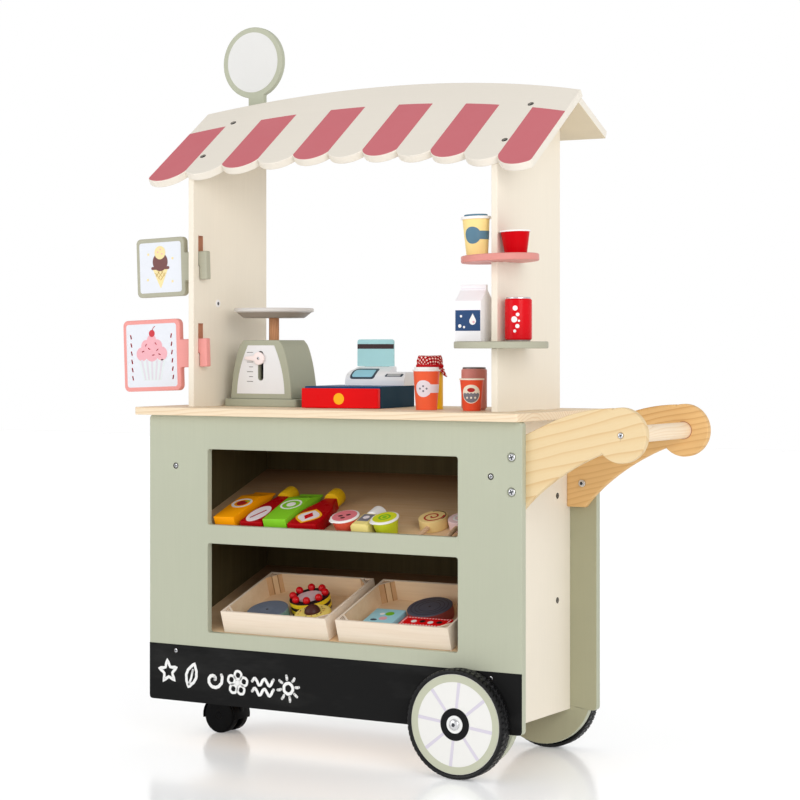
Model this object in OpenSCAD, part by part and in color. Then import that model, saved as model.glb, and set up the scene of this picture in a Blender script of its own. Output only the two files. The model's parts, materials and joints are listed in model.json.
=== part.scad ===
// Toy market stall on wheels: a cabinet with two display windows,
// a serving counter, a striped awning on two posts, a push handle, and
// the toy scale, till, signs, crates and goods that stand on it.
// Working frame of the modules: X from the left edge of the front panel,
// Y from its front face towards the back, Z from its bottom edge.
// place() moves that frame to the stall's own origin, on the floor.

/* [Cabinet] */
// Width of the front and rear panels
panel_w = 650; // [648:1:652]
// Height of the front and rear panels
panel_h = 440; // [438:1:441]
// Outside depth over the two panels
cabinet_d = 255; // [254:1:256]
// Thickness of every board of the cabinet and roof
board_t = 12; // [11.5:0.5:12]
// Thickness of the posts and of the round shelves
post_t = 10; // [9.5:0.5:10]
// Height of the panel's bottom edge above the floor
floor_gap = 66; // [64:1:68]
// Overhang of the counter at the front, back and left
counter_over = 15; // [8:1:18]
// Overhang of the counter past the left edge of the panels
counter_left = 19; // [15:1:22]
// Left edge of the two windows
window_x0 = 110; // [100:1:120]
// Right edge of the two windows
window_x1 = 546.5; // [540:0.5:560]

/* [Roof] */
// Slope of the front awning in degrees
awning_angle = 35.8; // [35.4:0.1:36.2]
// Slope of the rear awning in degrees
rear_angle = 26; // [25.5:0.5:26.5]
// Depth of the scallops along the awning's lower edge
scallop_depth = 17; // [12:1:20]
// Radius of the awning's crowned top edge
crown_r = 1085; // [1000:5:1400]
// Radius of the round roof sign
sign_r = 57.5; // [50:0.5:60]
// Thickness of the round roof sign
sign_t = 10; // [9:0.5:12]

/* [Wheels] */
// Outside radius of the large tyres
tyre_r = 78; // [76:1:80]
// Width of the large tyres
tyre_w = 24; // [20:1:26]
// Radius of the castor wheels
castor_r = 27.5; // [26.5:0.5:28]
// Radius of the axle bolts
axle_r = 4; // [3.5:0.5:5]

/* [Handle] */
// Radius of the handle bar
bar_r = 12; // [10:0.5:14]
// Radius of the rounded arm ends
arm_end_r = 38.5; // [36:0.5:39]

/* [Toys] */
// Droop of the hanging menu signs in degrees
sign_droop = 2; // [0:0.25:2.5]
// Radius of the scale's pan
pan_r = 63; // [56:1:66]
// Radius of the scale's post
pan_post_r = 8; // [7:0.5:9]

/* [Hidden] */
$fn = 64;

sage = "#a9b39c";
cream = "#efe6d5";
pine = "#e3c08d";
ply = "#dcc4a4";
steel = "#c9c9c9";

rear_y = cabinet_d - board_t;          // inner face of the rear panel
mid_y = cabinet_d / 2;
side_l = 44;                           // outer face of the left side panel
side_r = panel_w - 44;                 // outer face of the right side panel
in_l = side_l + board_t;               // inner faces
in_r = side_r - board_t;
counter_z = panel_h;                   // underside of the counter
top_z = counter_z + board_t;           // top of the counter
post_lc = 59.7;                        // middle planes of the posts
post_rc = panel_w - 58.3;
post_lx = post_lc - post_t / 2;        // left faces of the posts
post_rx = post_rc - post_t / 2;
post_y0 = 26.5;
post_y1 = cabinet_d - 27.5;

// Roof: s runs up the front awning's face from a point over the posts
aw_y = 58;
aw_z = 843;
aw_x0 = -10;
aw_x1 = panel_w + 10;
aw_c = (aw_x0 + aw_x1) / 2;
aw_top = 189;                          // s of the crown
aw_low = -8;                           // s of the cusp line at the middle
bands = 11;
band_w = (aw_x1 - aw_x0) / bands;
function sag(x) = crown_r - sqrt(crown_r * crown_r - (x - aw_c) * (x - aw_c));
function under_z(y) = aw_z - board_t / cos(awning_angle) + tan(awning_angle) * (y - aw_y);
// Ridge where both undersides meet over the posts
ridge_y = 161;
ridge_z = under_z(ridge_y);
function rear_under_z(y) = ridge_z - tan(rear_angle) * (y - ridge_y);
rear_low_y = 253.5;                    // lower inner edge of the rear awning

// Wheels
wheel_x = 556.5;
wheel_z = tyre_r - floor_gap;
wheel_gap = 4;
tab_z = 27;
tab_r = 84.5;

// Castor
swivel_x = 80;
castor_x = 55.8;
castor_z = castor_r - floor_gap;
pin_r = 3.5;

// Handle
bar_x = 795;
bar_z = 423.5;

// Menu signs, hung on hooked tabs in slots through the left post
slot_y0 = 39;
hook = 22;                             // depth of the hook's notch
up_slot = [671, 717.5];                // slot bottom and top
lo_slot = [535.5, 581.5];

// Display shelves
up_z = 260;
up_a = atan(0.370);
lo_z = 109;
lo_a = atan(0.344);
shelf_len = rear_y - board_t;

// Scale and till
sc_x = 143.6;
sc_y = 132;
sc_base = 12;                          // height of the scale's base

// Overall box in X, for the origin
lo_w = 110.8;
lo_h = 112.5;
lo_x0 = -81.5;
lo_zc = -1.4;
lo_r = 9;
xmin = post_lc + (lo_x0 + lo_r - post_lc) * cos(sign_droop)
  - (lo_zc + lo_h / 2 - lo_r) * sin(sign_droop) - lo_r;
xmax = bar_x + arm_end_r;
x_mid = (xmin + xmax) / 2;

module place() { translate([-x_mid, -mid_y, floor_gap]) children(); }

// ---- helpers ----
// Extrude an XZ outline along +Y from y0
module along_y(y0, t) { translate([0, y0 + t, 0]) rotate([90, 0, 0]) linear_extrude(t) children(); }
// Extrude a YZ outline along +X from x0
module along_x(x0, t) { translate([x0, 0, 0]) rotate([90, 0, 90]) linear_extrude(t) children(); }
module rrect(x0, y0, x1, y1, r) {
  translate([x0 + r, y0]) square([x1 - x0 - 2 * r, y1 - y0]);
  translate([x0, y0 + r]) square([x1 - x0, y1 - y0 - 2 * r]);
  for (x = [x0 + r, x1 - r], y = [y0 + r, y1 - r]) translate([x, y]) circle(r);
}
module rod_y(x, z, y0, y1, r) { translate([x, y0, z]) rotate([-90, 0, 0]) cylinder(r = r, h = y1 - y0); }
module rod_x(y, z, x0, x1, r) { translate([x0, y, z]) rotate([0, 90, 0]) cylinder(r = r, h = x1 - x0); }
function bez(p, t) = pow(1 - t, 3) * p[0] + 3 * pow(1 - t, 2) * t * p[1] + 3 * (1 - t) * t * t * p[2] + t * t * t * p[3];
function bez_line(p, n) = [for (i = [0 : n]) bez(p, i / n)];
// Frame whose XY plane is the front awning's face
module on_awning() { translate([0, aw_y, aw_z]) rotate([awning_angle, 0, 0]) children(); }
// Frame on a sloping display shelf: y up the slope from the front panel, z off the board
module on_upper() { translate([0, board_t, up_z]) rotate([up_a, 0, 0]) children(); }
module on_lower() { translate([0, board_t, lo_z]) rotate([lo_a, 0, 0]) children(); }

// ---- fasteners ----
// Wood screw pointing down, its head sunk by k below the board's face at z = 0
module screw(len = 38, k = 1.3) {
  translate([0, 0, -k]) difference() {
    union() {
      translate([0, 0, -2.2]) cylinder(r = 3.8, h = 2.2);
      translate([0, 0, k - len]) cylinder(r = 2, h = len - k - 1);
    }
    translate([0, 0, -1.2]) cylinder(r = 1.6, h = 2, $fn = 6);
  }
}
module screw_cut(len = 38, k = 1.3) {
  translate([0, 0, -2.2 - k]) cylinder(r = 4.2, h = 2.2 + k + 1);
  translate([0, 0, -len]) cylinder(r = 2, h = len - 1);
}
panel_pts = [for (x = [50, panel_w - 50], z = [77, 362]) [x, z]];
side_pts = [[50, up_z + 0.370 * 38 - 6.4], [200, up_z + 0.370 * 188 - 6.4],
  [50, lo_z + 0.344 * 38 - 6.3], [200, lo_z + 0.344 * 188 - 6.3], [60, 6]];
module front_spots() { for (p = panel_pts) translate([p[0], 0, p[1]]) rotate([90, 0, 0]) children(); }
module rear_spots() { for (p = panel_pts) translate([p[0], cabinet_d, p[1]]) rotate([-90, 0, 0]) children(); }
module right_spots() { for (p = side_pts) translate([side_r, p[0], p[1]]) rotate([0, 90, 0]) children(); }
module left_spots() { for (p = side_pts) translate([side_l, p[0], p[1]]) rotate([0, -90, 0]) children(); }
module awning_spots() { on_awning() for (x = [post_lc, post_rc], s = [0, 101.5]) translate([x, s, 0]) children(); }
rear_spot_y = 188;
module rear_awning_spots() {
  for (x = [post_lc, post_rc])
    translate([x, rear_spot_y, rear_under_z(rear_spot_y) + board_t / cos(rear_angle)])
      rotate([-rear_angle, 0, 0]) children();
}
module bar_spots() {
  translate([bar_x, board_t, bar_z]) rotate([90, 0, 0]) children();
  translate([bar_x, rear_y, bar_z]) rotate([-90, 0, 0]) children();
}
bolt_pts = [[632.4, 390], [632.4, 341]];
bolt_bore = 3;                         // depth of the counterbore
module handle_bolt() {
  // head sunk in the panel's counterbore, nut behind the arm
  difference() {
    union() {
      rod_y(0, 0, 0.4, bolt_bore, 5.8);
      rod_y(0, 0, bolt_bore - 0.5, 2 * board_t + 5, 3);
    }
    translate([0, 1.8, 0]) rotate([90, 0, 0]) cylinder(r = 2.2, h = 3, $fn = 6);
  }
  difference() {
    rod_y(0, 0, 2 * board_t, 2 * board_t + 4, 5.5);
    rod_y(0, 0, 2 * board_t - 1, 2 * board_t + 5, 3);
  }
}
module wood_screws() place() color(steel) {
  front_spots() screw(38, 0.6);
  rear_spots() screw(38, 0.6);
  right_spots() screw(32);
  left_spots() screw(32);
  awning_spots() screw(36);
  rear_awning_spots() screw(36);
  bar_spots() screw(30, 0.1);
  castor_spots() plate_screw();
}
module handle_bolts() place() color(steel) {
  for (p = bolt_pts) {
    translate([p[0], 0, p[1]]) handle_bolt();
    translate([0, cabinet_d, 0]) mirror([0, 1, 0]) translate([p[0], 0, p[1]]) handle_bolt();
  }
}

// ---- cabinet ----
module panel_outline() {
  rrect(0, 0, panel_w, panel_h, 6);
  intersection() {
    translate([wheel_x, tab_z]) circle(tab_r);
    translate([wheel_x - 100, tab_z - 100]) square([200, 140]);
  }
}
module front_panel() place() color(sage) difference() {
  along_y(0, board_t) difference() {
    panel_outline();
    rrect(window_x0, 273.8, window_x1, 388.8, 4);
    rrect(window_x0, 109.2, window_x1, 245, 4);
  }
  front_spots() screw_cut(38, 0.6);
  for (p = bolt_pts) {
    rod_y(p[0], p[1], -1, board_t + 1, 3);
    rod_y(p[0], p[1], -1, bolt_bore, 6.8);
  }
  rod_y(wheel_x, wheel_z, -1, board_t + 1, axle_r);
}
module rear_panel() place() color(sage) difference() {
  along_y(rear_y, board_t) panel_outline();
  rear_spots() screw_cut(38, 0.6);
  for (p = bolt_pts) {
    rod_y(p[0], p[1], rear_y - 1, cabinet_d + 1, 3);
    rod_y(p[0], p[1], cabinet_d - bolt_bore, cabinet_d + 1, 6.8);
  }
  rod_y(wheel_x, wheel_z, rear_y - 1, cabinet_d + 1, axle_r);
}
module side_panel(x0) {
  difference() {
    translate([x0, board_t, 0]) cube([board_t, shelf_len, panel_h]);
    front_spots() screw_cut(38, 0.6);
    rear_spots() screw_cut(38, 0.6);
    right_spots() screw_cut(32);
    left_spots() screw_cut(32);
  }
}
module left_side_panel() place() color(cream) side_panel(side_l);
module right_side_panel() place() color(cream) side_panel(side_r - board_t);
tenons = [[46, 40], [168, 40]];        // start and length along Y
module counter_top() place() color(pine) difference() {
  translate([-counter_left, -counter_over, counter_z])
    linear_extrude(board_t) rrect(0, 0, panel_w + counter_left, cabinet_d + 2 * counter_over, 5);
  for (x = [post_lx, post_rx], t = tenons)
    translate([x, t[0], counter_z - 1]) cube([post_t, t[1], board_t + 2]);
}
module bottom_board() place() color(ply) difference() {
  translate([in_l, board_t, 0]) cube([in_r - in_l, shelf_len, board_t]);
  right_spots() screw_cut(32);
  left_spots() screw_cut(32);
  castor_spots() translate([0, 0, -1]) cylinder(r = 1.5, h = 9);
  // room for the axle nuts
  for (y = [board_t - 1, rear_y - 11]) translate([wheel_x - 9, y, 2.5]) cube([18, 12, 11]);
}
// Sloping shelf: cut square to the panels, 12 thick across the slope
module shelf(z0, a) {
  dz = board_t / cos(a);
  z1 = z0 + tan(a) * shelf_len;
  difference() {
    along_x(in_l, in_r - in_l)
      polygon([[board_t, z0 - dz], [rear_y, z1 - dz], [rear_y, z1], [board_t, z0]]);
    right_spots() screw_cut(32);
    left_spots() screw_cut(32);
  }
}
module upper_display_shelf() place() color(ply) shelf(up_z, up_a);
module lower_display_shelf() place() color(ply) shelf(lo_z, lo_a);

// ---- posts and roof ----
module post_outline() {
  polygon([[post_y0, top_z], [post_y1, top_z], [post_y1, rear_under_z(post_y1)],
    [ridge_y, ridge_z], [post_y0, under_z(post_y0)]]);
  for (t = tenons) translate([t[0], counter_z]) square([t[1], board_t + 1]);
}
module post(x0) {
  difference() {
    along_x(x0, post_t) post_outline();
    awning_spots() screw_cut(36);
    rear_awning_spots() screw_cut(36);
  }
}
neck_y = 204;                          // front face of the round sign
neck_w = 30;
module left_post() place() color(cream) difference() {
  post(post_lx);
  for (s = [up_slot, lo_slot])
    along_x(post_lx - 1, post_t + 2) translate([slot_y0, s[0]]) square([12, s[1] - s[0]]);
  // notch in the top that takes the round sign's neck
  translate([post_lx - 1, neck_y, 850]) cube([post_t + 2, sign_t, 60]);
}
cup_z = [666.5, 543];                  // undersides at the post
cup_x = [593, 592.3];
cup_y = [42, 46];
cup_r = [56, 67.8];
cup_tilt = [2.4, 0];                   // droop to the left in degrees
// Frame on a round shelf's top, turned about the post
module on_cup(i) {
  translate([post_rc, 0, cup_z[i]]) rotate([0, -cup_tilt[i], 0]) translate([-post_rc, 0, post_t]) children();
}
module right_post() place() color(cream) difference() {
  post(post_rx);
  for (i = [0, 1]) on_cup(i)
    translate([post_rx - 3, post_y0 - 1, -post_t]) cube([post_t + 6, cup_y[i] - post_y0 + 1, post_t]);
}
// Round shelf, half-lapped into the post's front edge
module cup_shelf(i) {
  difference() {
    on_cup(i) translate([cup_x[i], cup_y[i], -post_t]) cylinder(r = cup_r[i], h = post_t, $fn = 96);
    translate([post_rx, cup_y[i], cup_z[i] - 5]) cube([post_t, cup_r[i] + 1, post_t + 10]);
  }
}
module upper_cup_shelf() place() color("#d99a98") cup_shelf(0);
module lower_cup_shelf() place() color(sage) cup_shelf(1);

// Cusps along the awning's lower edge, on the crown's curve
function cusp(i) = let (x = aw_x0 + i * band_w) [x, aw_low - sag(x)];
module awning_outline() {
  intersection() {
    union() {
      polygon(concat([for (i = [0 : bands]) cusp(i) + [0, 0.8]], [[aw_x1, aw_top + 20], [aw_x0, aw_top + 20]]));
      for (i = [0 : bands - 1]) {
        p = cusp(i);
        q = cusp(i + 1);
        c = norm(q - p) / 2;
        r = (c * c + scallop_depth * scallop_depth) / (2 * scallop_depth);
        n = [-(q[1] - p[1]), q[0] - p[0]] / norm(q - p);
        translate((p + q) / 2 + n * (r - scallop_depth)) circle(r);
      }
    }
    translate([aw_c, aw_top - crown_r]) circle(crown_r, $fn = 720);
    translate([aw_x0 + 0.2, -200]) square([aw_x1 - aw_x0 - 0.4, 500]);
    // eased outer corners of the end scallops
    union() {
      translate([aw_x0 + 14.2, -200]) square([aw_x1 - aw_x0 - 28.4, 500]);
      translate([aw_x0, cusp(0)[1] + 5.2]) square([aw_x1 - aw_x0, 400]);
      for (x = [aw_x0 + 14.2, aw_x1 - 14.2]) translate([x, cusp(0)[1] + 5.2]) circle(14);
    }
  }
}
module front_awning() place() color(cream) difference() {
  on_awning() translate([0, 0, -board_t]) linear_extrude(board_t) awning_outline();
  awning_spots() screw_cut(36);
}
// Rear awning butts against the back of the front awning
module rear_awning() place() color(cream) difference() {
  vt = board_t / cos(rear_angle);
  d = tan(awning_angle) + tan(rear_angle);
  ty = ridge_y + vt / d;
  low = [rear_low_y, rear_under_z(rear_low_y)];
  along_x(aw_x0 + 0.2, aw_x1 - aw_x0 - 0.4) polygon([
    [ridge_y, ridge_z], low,
    low + board_t * [sin(rear_angle), cos(rear_angle)],
    [ty, under_z(ty)]]);
  rear_awning_spots() screw_cut(36);
  translate([post_lc - neck_w / 2, neck_y, 800]) cube([neck_w, sign_t, 160]);
}
sign_z = 1006;
// Round sign on a neck that drops through the rear awning into the post's notch
module round_sign() place() color(sage) along_y(neck_y, sign_t) {
  translate([post_lc - 6.7, sign_z]) circle(sign_r, $fn = 128);
  translate([post_lc - neck_w / 2, 850]) square([neck_w, sign_z - 870]);
}

// ---- handle ----
arm_top = [[side_r, 410], [660, 415], [690, 458], [782, bar_z + arm_end_r - 1]];
arm_low = [[766, 397], [698, 370], [652, 328], [636, 305]];
module arm_outline() {
  polygon(concat(bez_line(arm_top, 24), [[bar_x, bar_z + 20], [bar_x, bar_z - 10]],
    bez_line(arm_low, 24), [[side_r, 305]]));
  translate([bar_x, bar_z]) circle(arm_end_r, $fn = 96);
}
socket = 6;
module handle_arm(y0, inner) {
  difference() {
    along_y(y0, board_t) arm_outline();
    for (p = bolt_pts) rod_y(p[0], p[1], y0 - 1, y0 + board_t + 1, 3);
    rod_y(bar_x, bar_z, inner, inner + socket, bar_r);
    bar_spots() screw_cut(30, 0.1);
  }
}
module front_handle_arm() place() color(pine) handle_arm(board_t, 2 * board_t - socket);
module rear_handle_arm() place() color(pine) handle_arm(rear_y - board_t, rear_y - board_t);
module handle_bar() place() color(pine) difference() {
  rod_y(bar_x, bar_z, 2 * board_t - socket, rear_y - board_t + socket, bar_r);
  bar_spots() screw_cut(30, 0.1);
}

// ---- large wheels ----
// One wheel in front of the front panel; the rear one is its mirror image
disc_r = tyre_r - 7;
wheel_y1 = -wheel_gap;                 // inner side of the tyre
wheel_y0 = wheel_y1 - tyre_w;          // outer side of the tyre
disc_t = tyre_w - 4;
bush_r = 10;
module wheel_spin() { translate([wheel_x, 0, wheel_z]) rotate([90, 0, 0]) children(); }
module mirrored() { translate([0, cabinet_d, 0]) mirror([0, 1, 0]) children(); }
module disc_solid() {
  difference() {
    rod_y(wheel_x, wheel_z, wheel_y0 + 2, wheel_y1 - 2, disc_r);
    rod_y(wheel_x, wheel_z, wheel_y0, wheel_y1, bush_r);
  }
}
module tyre_solid() {
  wheel_spin() rotate_extrude($fn = 128) polygon([
    [disc_r, -wheel_y1 + 2], [tyre_r - 3, -wheel_y1], [tyre_r, -wheel_y1 + 4],
    [tyre_r, -wheel_y0 - 4], [tyre_r - 3, -wheel_y0], [disc_r, -wheel_y0 - 2]]);
}
module bush_solid() {
  difference() {
    union() {
      rod_y(wheel_x, wheel_z, wheel_y0 + 2, wheel_y1 - 2, bush_r);
      rod_y(wheel_x, wheel_z, wheel_y0 + 0.5, wheel_y0 + 2, 12.6);
      rod_y(wheel_x, wheel_z, wheel_y1 - 2, wheel_y1 - 0.5, 12.6);
    }
    rod_y(wheel_x, wheel_z, wheel_y0 - 1, wheel_y1 + 1, axle_r + 0.05);
  }
}
module front_wheel_disc() place() color("#f2f0e9") disc_solid();
module rear_wheel_disc() place() color("#f2f0e9") mirrored() disc_solid();
module front_wheel_tyre() place() color("#1d1d1f") tyre_solid();
module rear_wheel_tyre() place() color("#1d1d1f") mirrored() tyre_solid();
module front_wheel_bush() place() color("white") bush_solid();
module rear_wheel_bush() place() color("white") mirrored() bush_solid();
module axle_bolt() {
  head_y = wheel_y0 + 0.2;
  difference() {
    union() {
      rod_y(wheel_x, wheel_z, head_y - 3.2, head_y, 8);
      rod_y(wheel_x, wheel_z, head_y - 1, board_t + 9, axle_r);
    }
    translate([wheel_x, head_y - 1.4, wheel_z]) rotate([90, 0, 0]) cylinder(r = 3, h = 4, $fn = 6);
  }
  // spacer washer against the panel
  difference() {
    rod_y(wheel_x, wheel_z, -3.8, 0, 9);
    rod_y(wheel_x, wheel_z, -5, 1, axle_r);
  }
  // nut inside the cabinet
  difference() {
    translate([wheel_x, board_t + 6.5, wheel_z]) rotate([90, 0, 0]) cylinder(r = 7.5, h = 6.5, $fn = 6);
    rod_y(wheel_x, wheel_z, board_t - 1, board_t + 8, axle_r);
  }
}
module axle_bolts() place() color(steel) {
  axle_bolt();
  mirrored() axle_bolt();
}

// ---- castor ----
cw_in = 6;                             // half gap between the twin wheels
cw_w = 15.5;                            // width of each wheel
module castor_spots() { for (x = [-15, 15], y = [-15, 15]) translate([swivel_x + 9 + x, mid_y + y, 0]) children(); }
// Pan-head screw up through the plate into the bottom board
module plate_screw() {
  difference() {
    translate([0, 0, -4.4]) cylinder(r = 3.2, h = 1.9);
    translate([0, 0, -5]) cylinder(r = 1.3, h = 1.6, $fn = 6);
  }
  translate([0, 0, -2.6]) cylinder(r = 1.5, h = 10.6);
}
module castor_plate() place() color(steel) {
  difference() {
    translate([swivel_x - 12, mid_y - 21, -2.5]) linear_extrude(2.5) rrect(0, 0, 42, 42, 5);
    castor_spots() translate([0, 0, -3]) cylinder(r = 1.5, h = 4);
  }
  translate([swivel_x, mid_y, -5]) cylinder(r = 10, h = 2.6);
  translate([swivel_x, mid_y, -26]) cylinder(r = pin_r, h = 22);
}
// Hood: swivel boss, web between the wheels and a curved guard above them
module castor_hood() place() color("#202022") difference() {
  union() {
    translate([swivel_x, mid_y, -9]) cylinder(r = 12, h = 3.7);
    along_y(mid_y - cw_in + 1, 2 * cw_in - 2) {
      translate([castor_x, castor_z]) circle(22);
      translate([castor_x, castor_z + 6]) square([swivel_x - castor_x + 6, 26.5]);
    }
    difference() {
      along_y(mid_y - cw_in - cw_w, 2 * (cw_in + cw_w)) intersection() {
        translate([castor_x, castor_z]) circle(castor_r + 3.3);
        translate([castor_x - 40, castor_z - 5]) square([80, 46]);
      }
      along_y(mid_y - 30, 60) translate([castor_x, castor_z]) circle(castor_r + 1);
    }
  }
  translate([swivel_x, mid_y, -27]) cylinder(r = pin_r + 0.05, h = 30);
  rod_y(castor_x, castor_z, mid_y - 40, mid_y + 40, axle_r);
}
module castor_axle() place() color(steel)
  rod_y(castor_x, castor_z, mid_y - cw_in - cw_w + 1, mid_y + cw_in + cw_w - 1, axle_r);
module castor_wheel(y0) {
  difference() {
    translate([castor_x, y0 + cw_w, castor_z]) rotate([90, 0, 0]) rotate_extrude($fn = 96) polygon([
      [axle_r + 0.05, 0], [castor_r - 2, 0], [castor_r, 2], [castor_r, cw_w - 2], [castor_r - 2, cw_w], [axle_r + 0.05, cw_w]]);
  }
}
module castor_front_wheel() place() color("#202022") castor_wheel(mid_y - cw_in - cw_w);
module castor_rear_wheel() place() color("#202022") castor_wheel(mid_y + cw_in);

// ---- hanging menu signs ----
// Board with a hooked tab that drops over the bottom of its slot
module menu_sign(slot, x0, w, h, zc, r) {
  tab_h = 44;
  translate([post_lc, 0, slot[0] + 0.4]) rotate([0, -sign_droop, 0]) translate([-post_lc, 0, 0])
    along_y(slot_y0 + 0.5, 11) difference() {
      union() {
        rrect(x0, zc - h / 2, x0 + w, zc + h / 2, r);
        translate([x0 + w - 5, -hook]) square([81 - x0 - w, tab_h]);
        rrect(66, -hook, 80, tab_h - hook, 2);
      }
      translate([post_lx - 1.2, -hook - 1]) square([post_t + 2.4, hook + 1]);
    }
}
module upper_menu_sign() place() color(sage) menu_sign(up_slot, -55.6, 93.5, 92.7, 0.75, 8);
module lower_menu_sign() place() color("#d99a98") menu_sign(lo_slot, lo_x0, lo_w, lo_h, lo_zc, lo_r);

// ---- crates ----
cr_l = 147;
cr_h = 34.8;
cr_t = 4;                              // walls
cr_floor = 3;
module crate(x0, w) {
  on_lower() translate([x0, 0.6, 0.4]) {
    difference() {
      cube([w, cr_l, cr_h]);
      translate([cr_t, cr_t, cr_floor]) cube([w - 2 * cr_t, cr_l - 2 * cr_t, cr_h]);
    }
    // corner blocks
    for (i = [0, 1], j = [0, 1])
      translate([i * w, j * cr_l, cr_floor - 0.5]) mirror([i, 0, 0]) mirror([0, j, 0])
        linear_extrude(cr_h - cr_floor - 0.3) polygon([[cr_t - 1, cr_t - 1], [cr_t + 19, cr_t - 1], [cr_t - 1, cr_t + 19]]);
  }
}
module left_crate() place() color(ply) crate(133, 189.2);
module right_crate() place() color(ply) crate(339, 191);

// ---- scale ----
sc_h = 91.6;
body_y0 = 95;
body_y1 = 169;
side_curve = [[57, 0], [55, 38], [47, 70], [39.5, 84]];
module bell(k) {
  // bell-shaped front, k insets the sides
  r = bez_line(side_curve, 16);
  polygon(concat(
    [for (p = r) [p[0] - k, p[1]]], [[33 - k, sc_h - k * 0.9], [-33 + k, sc_h - k * 0.9]],
    [for (i = [16 : -1 : 0]) [-r[i][0] + k, r[i][1]]]));
}
module scale_base() place() color(sage)
  translate([sc_x - 67.8, 92, top_z]) linear_extrude(sc_base) rrect(0, 0, 135.6, 80, 4);
module scale_body() place() color(sage) difference() {
  translate([sc_x, 0, top_z + sc_base]) along_y(body_y0, body_y1 - body_y0) bell(0);
  translate([sc_x, 0, top_z + sc_base - 1]) along_y(body_y0 + 10, body_y1 - body_y0 - 20) bell(9);
  translate([sc_x, sc_y, top_z + 20]) cylinder(r = pan_post_r + 0.06, h = sc_h);
  // slot for the pointer's pin
  along_y(body_y0 - 1, 14) {
    translate([sc_x - 5, 497.5]) square([10, 36]);
    for (z = [497.5, 533.5]) translate([sc_x, z]) circle(5);
  }
}
post_low = 500;
pan_z = 590.4;
module scale_post() place() color("#a56a3f") difference() {
  translate([sc_x, sc_y, post_low]) cylinder(r = pan_post_r, h = pan_z - post_low);
  rod_y(sc_x, 527, sc_y - 20, sc_y - 1, 3);
}
module scale_pan() place() color("#d3d0cc") translate([sc_x, sc_y, pan_z]) rotate_extrude($fn = 128)
  polygon([[0, 0], [50, 0], [pan_r - 3, 10.5], [pan_r, 13.6], [pan_r - 1, 15.6], [pan_r - 5, 14.6],
    [49, 4.5], [0, 4.5]]);
// Pointer disc with a tongue, and its pin into the post
module scale_pointer() place() color("#e6b8b4") {
  along_y(body_y0 - 5, 4) {
    translate([sc_x - 2, 527]) circle(10);
    polygon([[sc_x - 2, 534], [sc_x - 28, 530.5], [sc_x - 28, 525], [sc_x - 2, 520]]);
  }
  rod_y(sc_x, 527, body_y0 - 1.5, sc_y - 1, 3);
}
// Coil under the post
spring_turns = 6;
spring_seg = 14;
spring_r = 6;
wire_r = 0.7;
module scale_spring() place() color(steel) {
  n = spring_turns * spring_seg;
  m = 6;
  h = post_low - top_z - sc_base - 2 * wire_r - 0.4;
  pts = [for (i = [0 : n], j = [0 : m - 1])
    let (a = i * 360 / spring_seg, b = j * 360 / m, r = spring_r + wire_r * cos(b))
      [r * cos(a), r * sin(a), h * i / n + wire_r * sin(b)]];
  translate([sc_x, sc_y, top_z + sc_base + wire_r + 0.2]) polyhedron(points = pts, faces = concat(
    [[for (j = [0 : m - 1]) j]], [[for (j = [m - 1 : -1 : 0]) n * m + j]],
    [for (i = [0 : n - 1], j = [0 : m - 1]) [i * m + j, (i + 1) * m + j, (i + 1) * m + (j + 1) % m, i * m + (j + 1) % m]]));
}

// ---- till ----
till_w = 127;
till_d = 142;
till_front = 13;                       // thickness of the drawer's front
till_turn = 7;                         // the till stands at an angle
module on_till() { translate([239.9, 62, top_z]) rotate(till_turn) children(); }
module register_base() place() color("#2f4f66") on_till() difference() {
  translate([0, till_front + 0.4, 0]) cube([till_w, till_d - till_front - 0.4, 33]);
  translate([6, till_front - 1, 4]) cube([till_w - 12, till_d - till_front - 5, 25.4]);
}
module register_drawer() place() color("#d5282a") on_till() {
  translate([0, 0, 0.6]) linear_extrude(29.7) rrect(0, 0, till_w, till_front, 3);
  difference() {
    translate([6.5, till_front - 1, 4.5]) cube([till_w - 13, till_d - till_front - 7, 22]);
    translate([10.5, till_front + 3, 8.5]) cube([till_w - 21, till_d - till_front - 15, 24]);
  }
}
con_x0 = 27.7;
con_x1 = 126.5;
con_step = 96.5;                       // left end of the lower right part
card_x0 = 33.8;
card_y = 137.6;
// Console: wedge with a sloping face, a rounded left shoulder and a lower right part
module register_console() place() color("#cfd2d6") on_till() difference() {
  intersection() {
    along_x(con_x0, con_x1 - con_x0)
      polygon([[103, 33], [103, 41], [132, 61.3], [136, 62.4], [till_d, 62.4], [till_d, 33]]);
    along_y(95, 55) {
      translate([con_x0 + 15, 25]) square([con_step - con_x0 - 15, 40]);
      translate([con_x0, 25]) square([30, 22.4]);
      translate([con_x0 + 15, 47.4]) circle(15);
      translate([con_step - 1, 25]) square([con_x1 - con_step + 1, 29]);
    }
  }
  // card slot
  translate([card_x0 + 10.6, card_y - 1.8, 43]) cube([41.8, 3.6, 30]);
}
module payment_card() place() color("#9ed0d4") on_till() along_y(card_y - 1.4, 2.8) {
  rrect(card_x0 - 2, 62.7, card_x0 + 60.8, 104.8, 4);
  translate([card_x0 + 11, 43.4]) square([41, 25]);
}

// ---- loose goods on the counter and the cup shelves ----
stand = 0.2;
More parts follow.
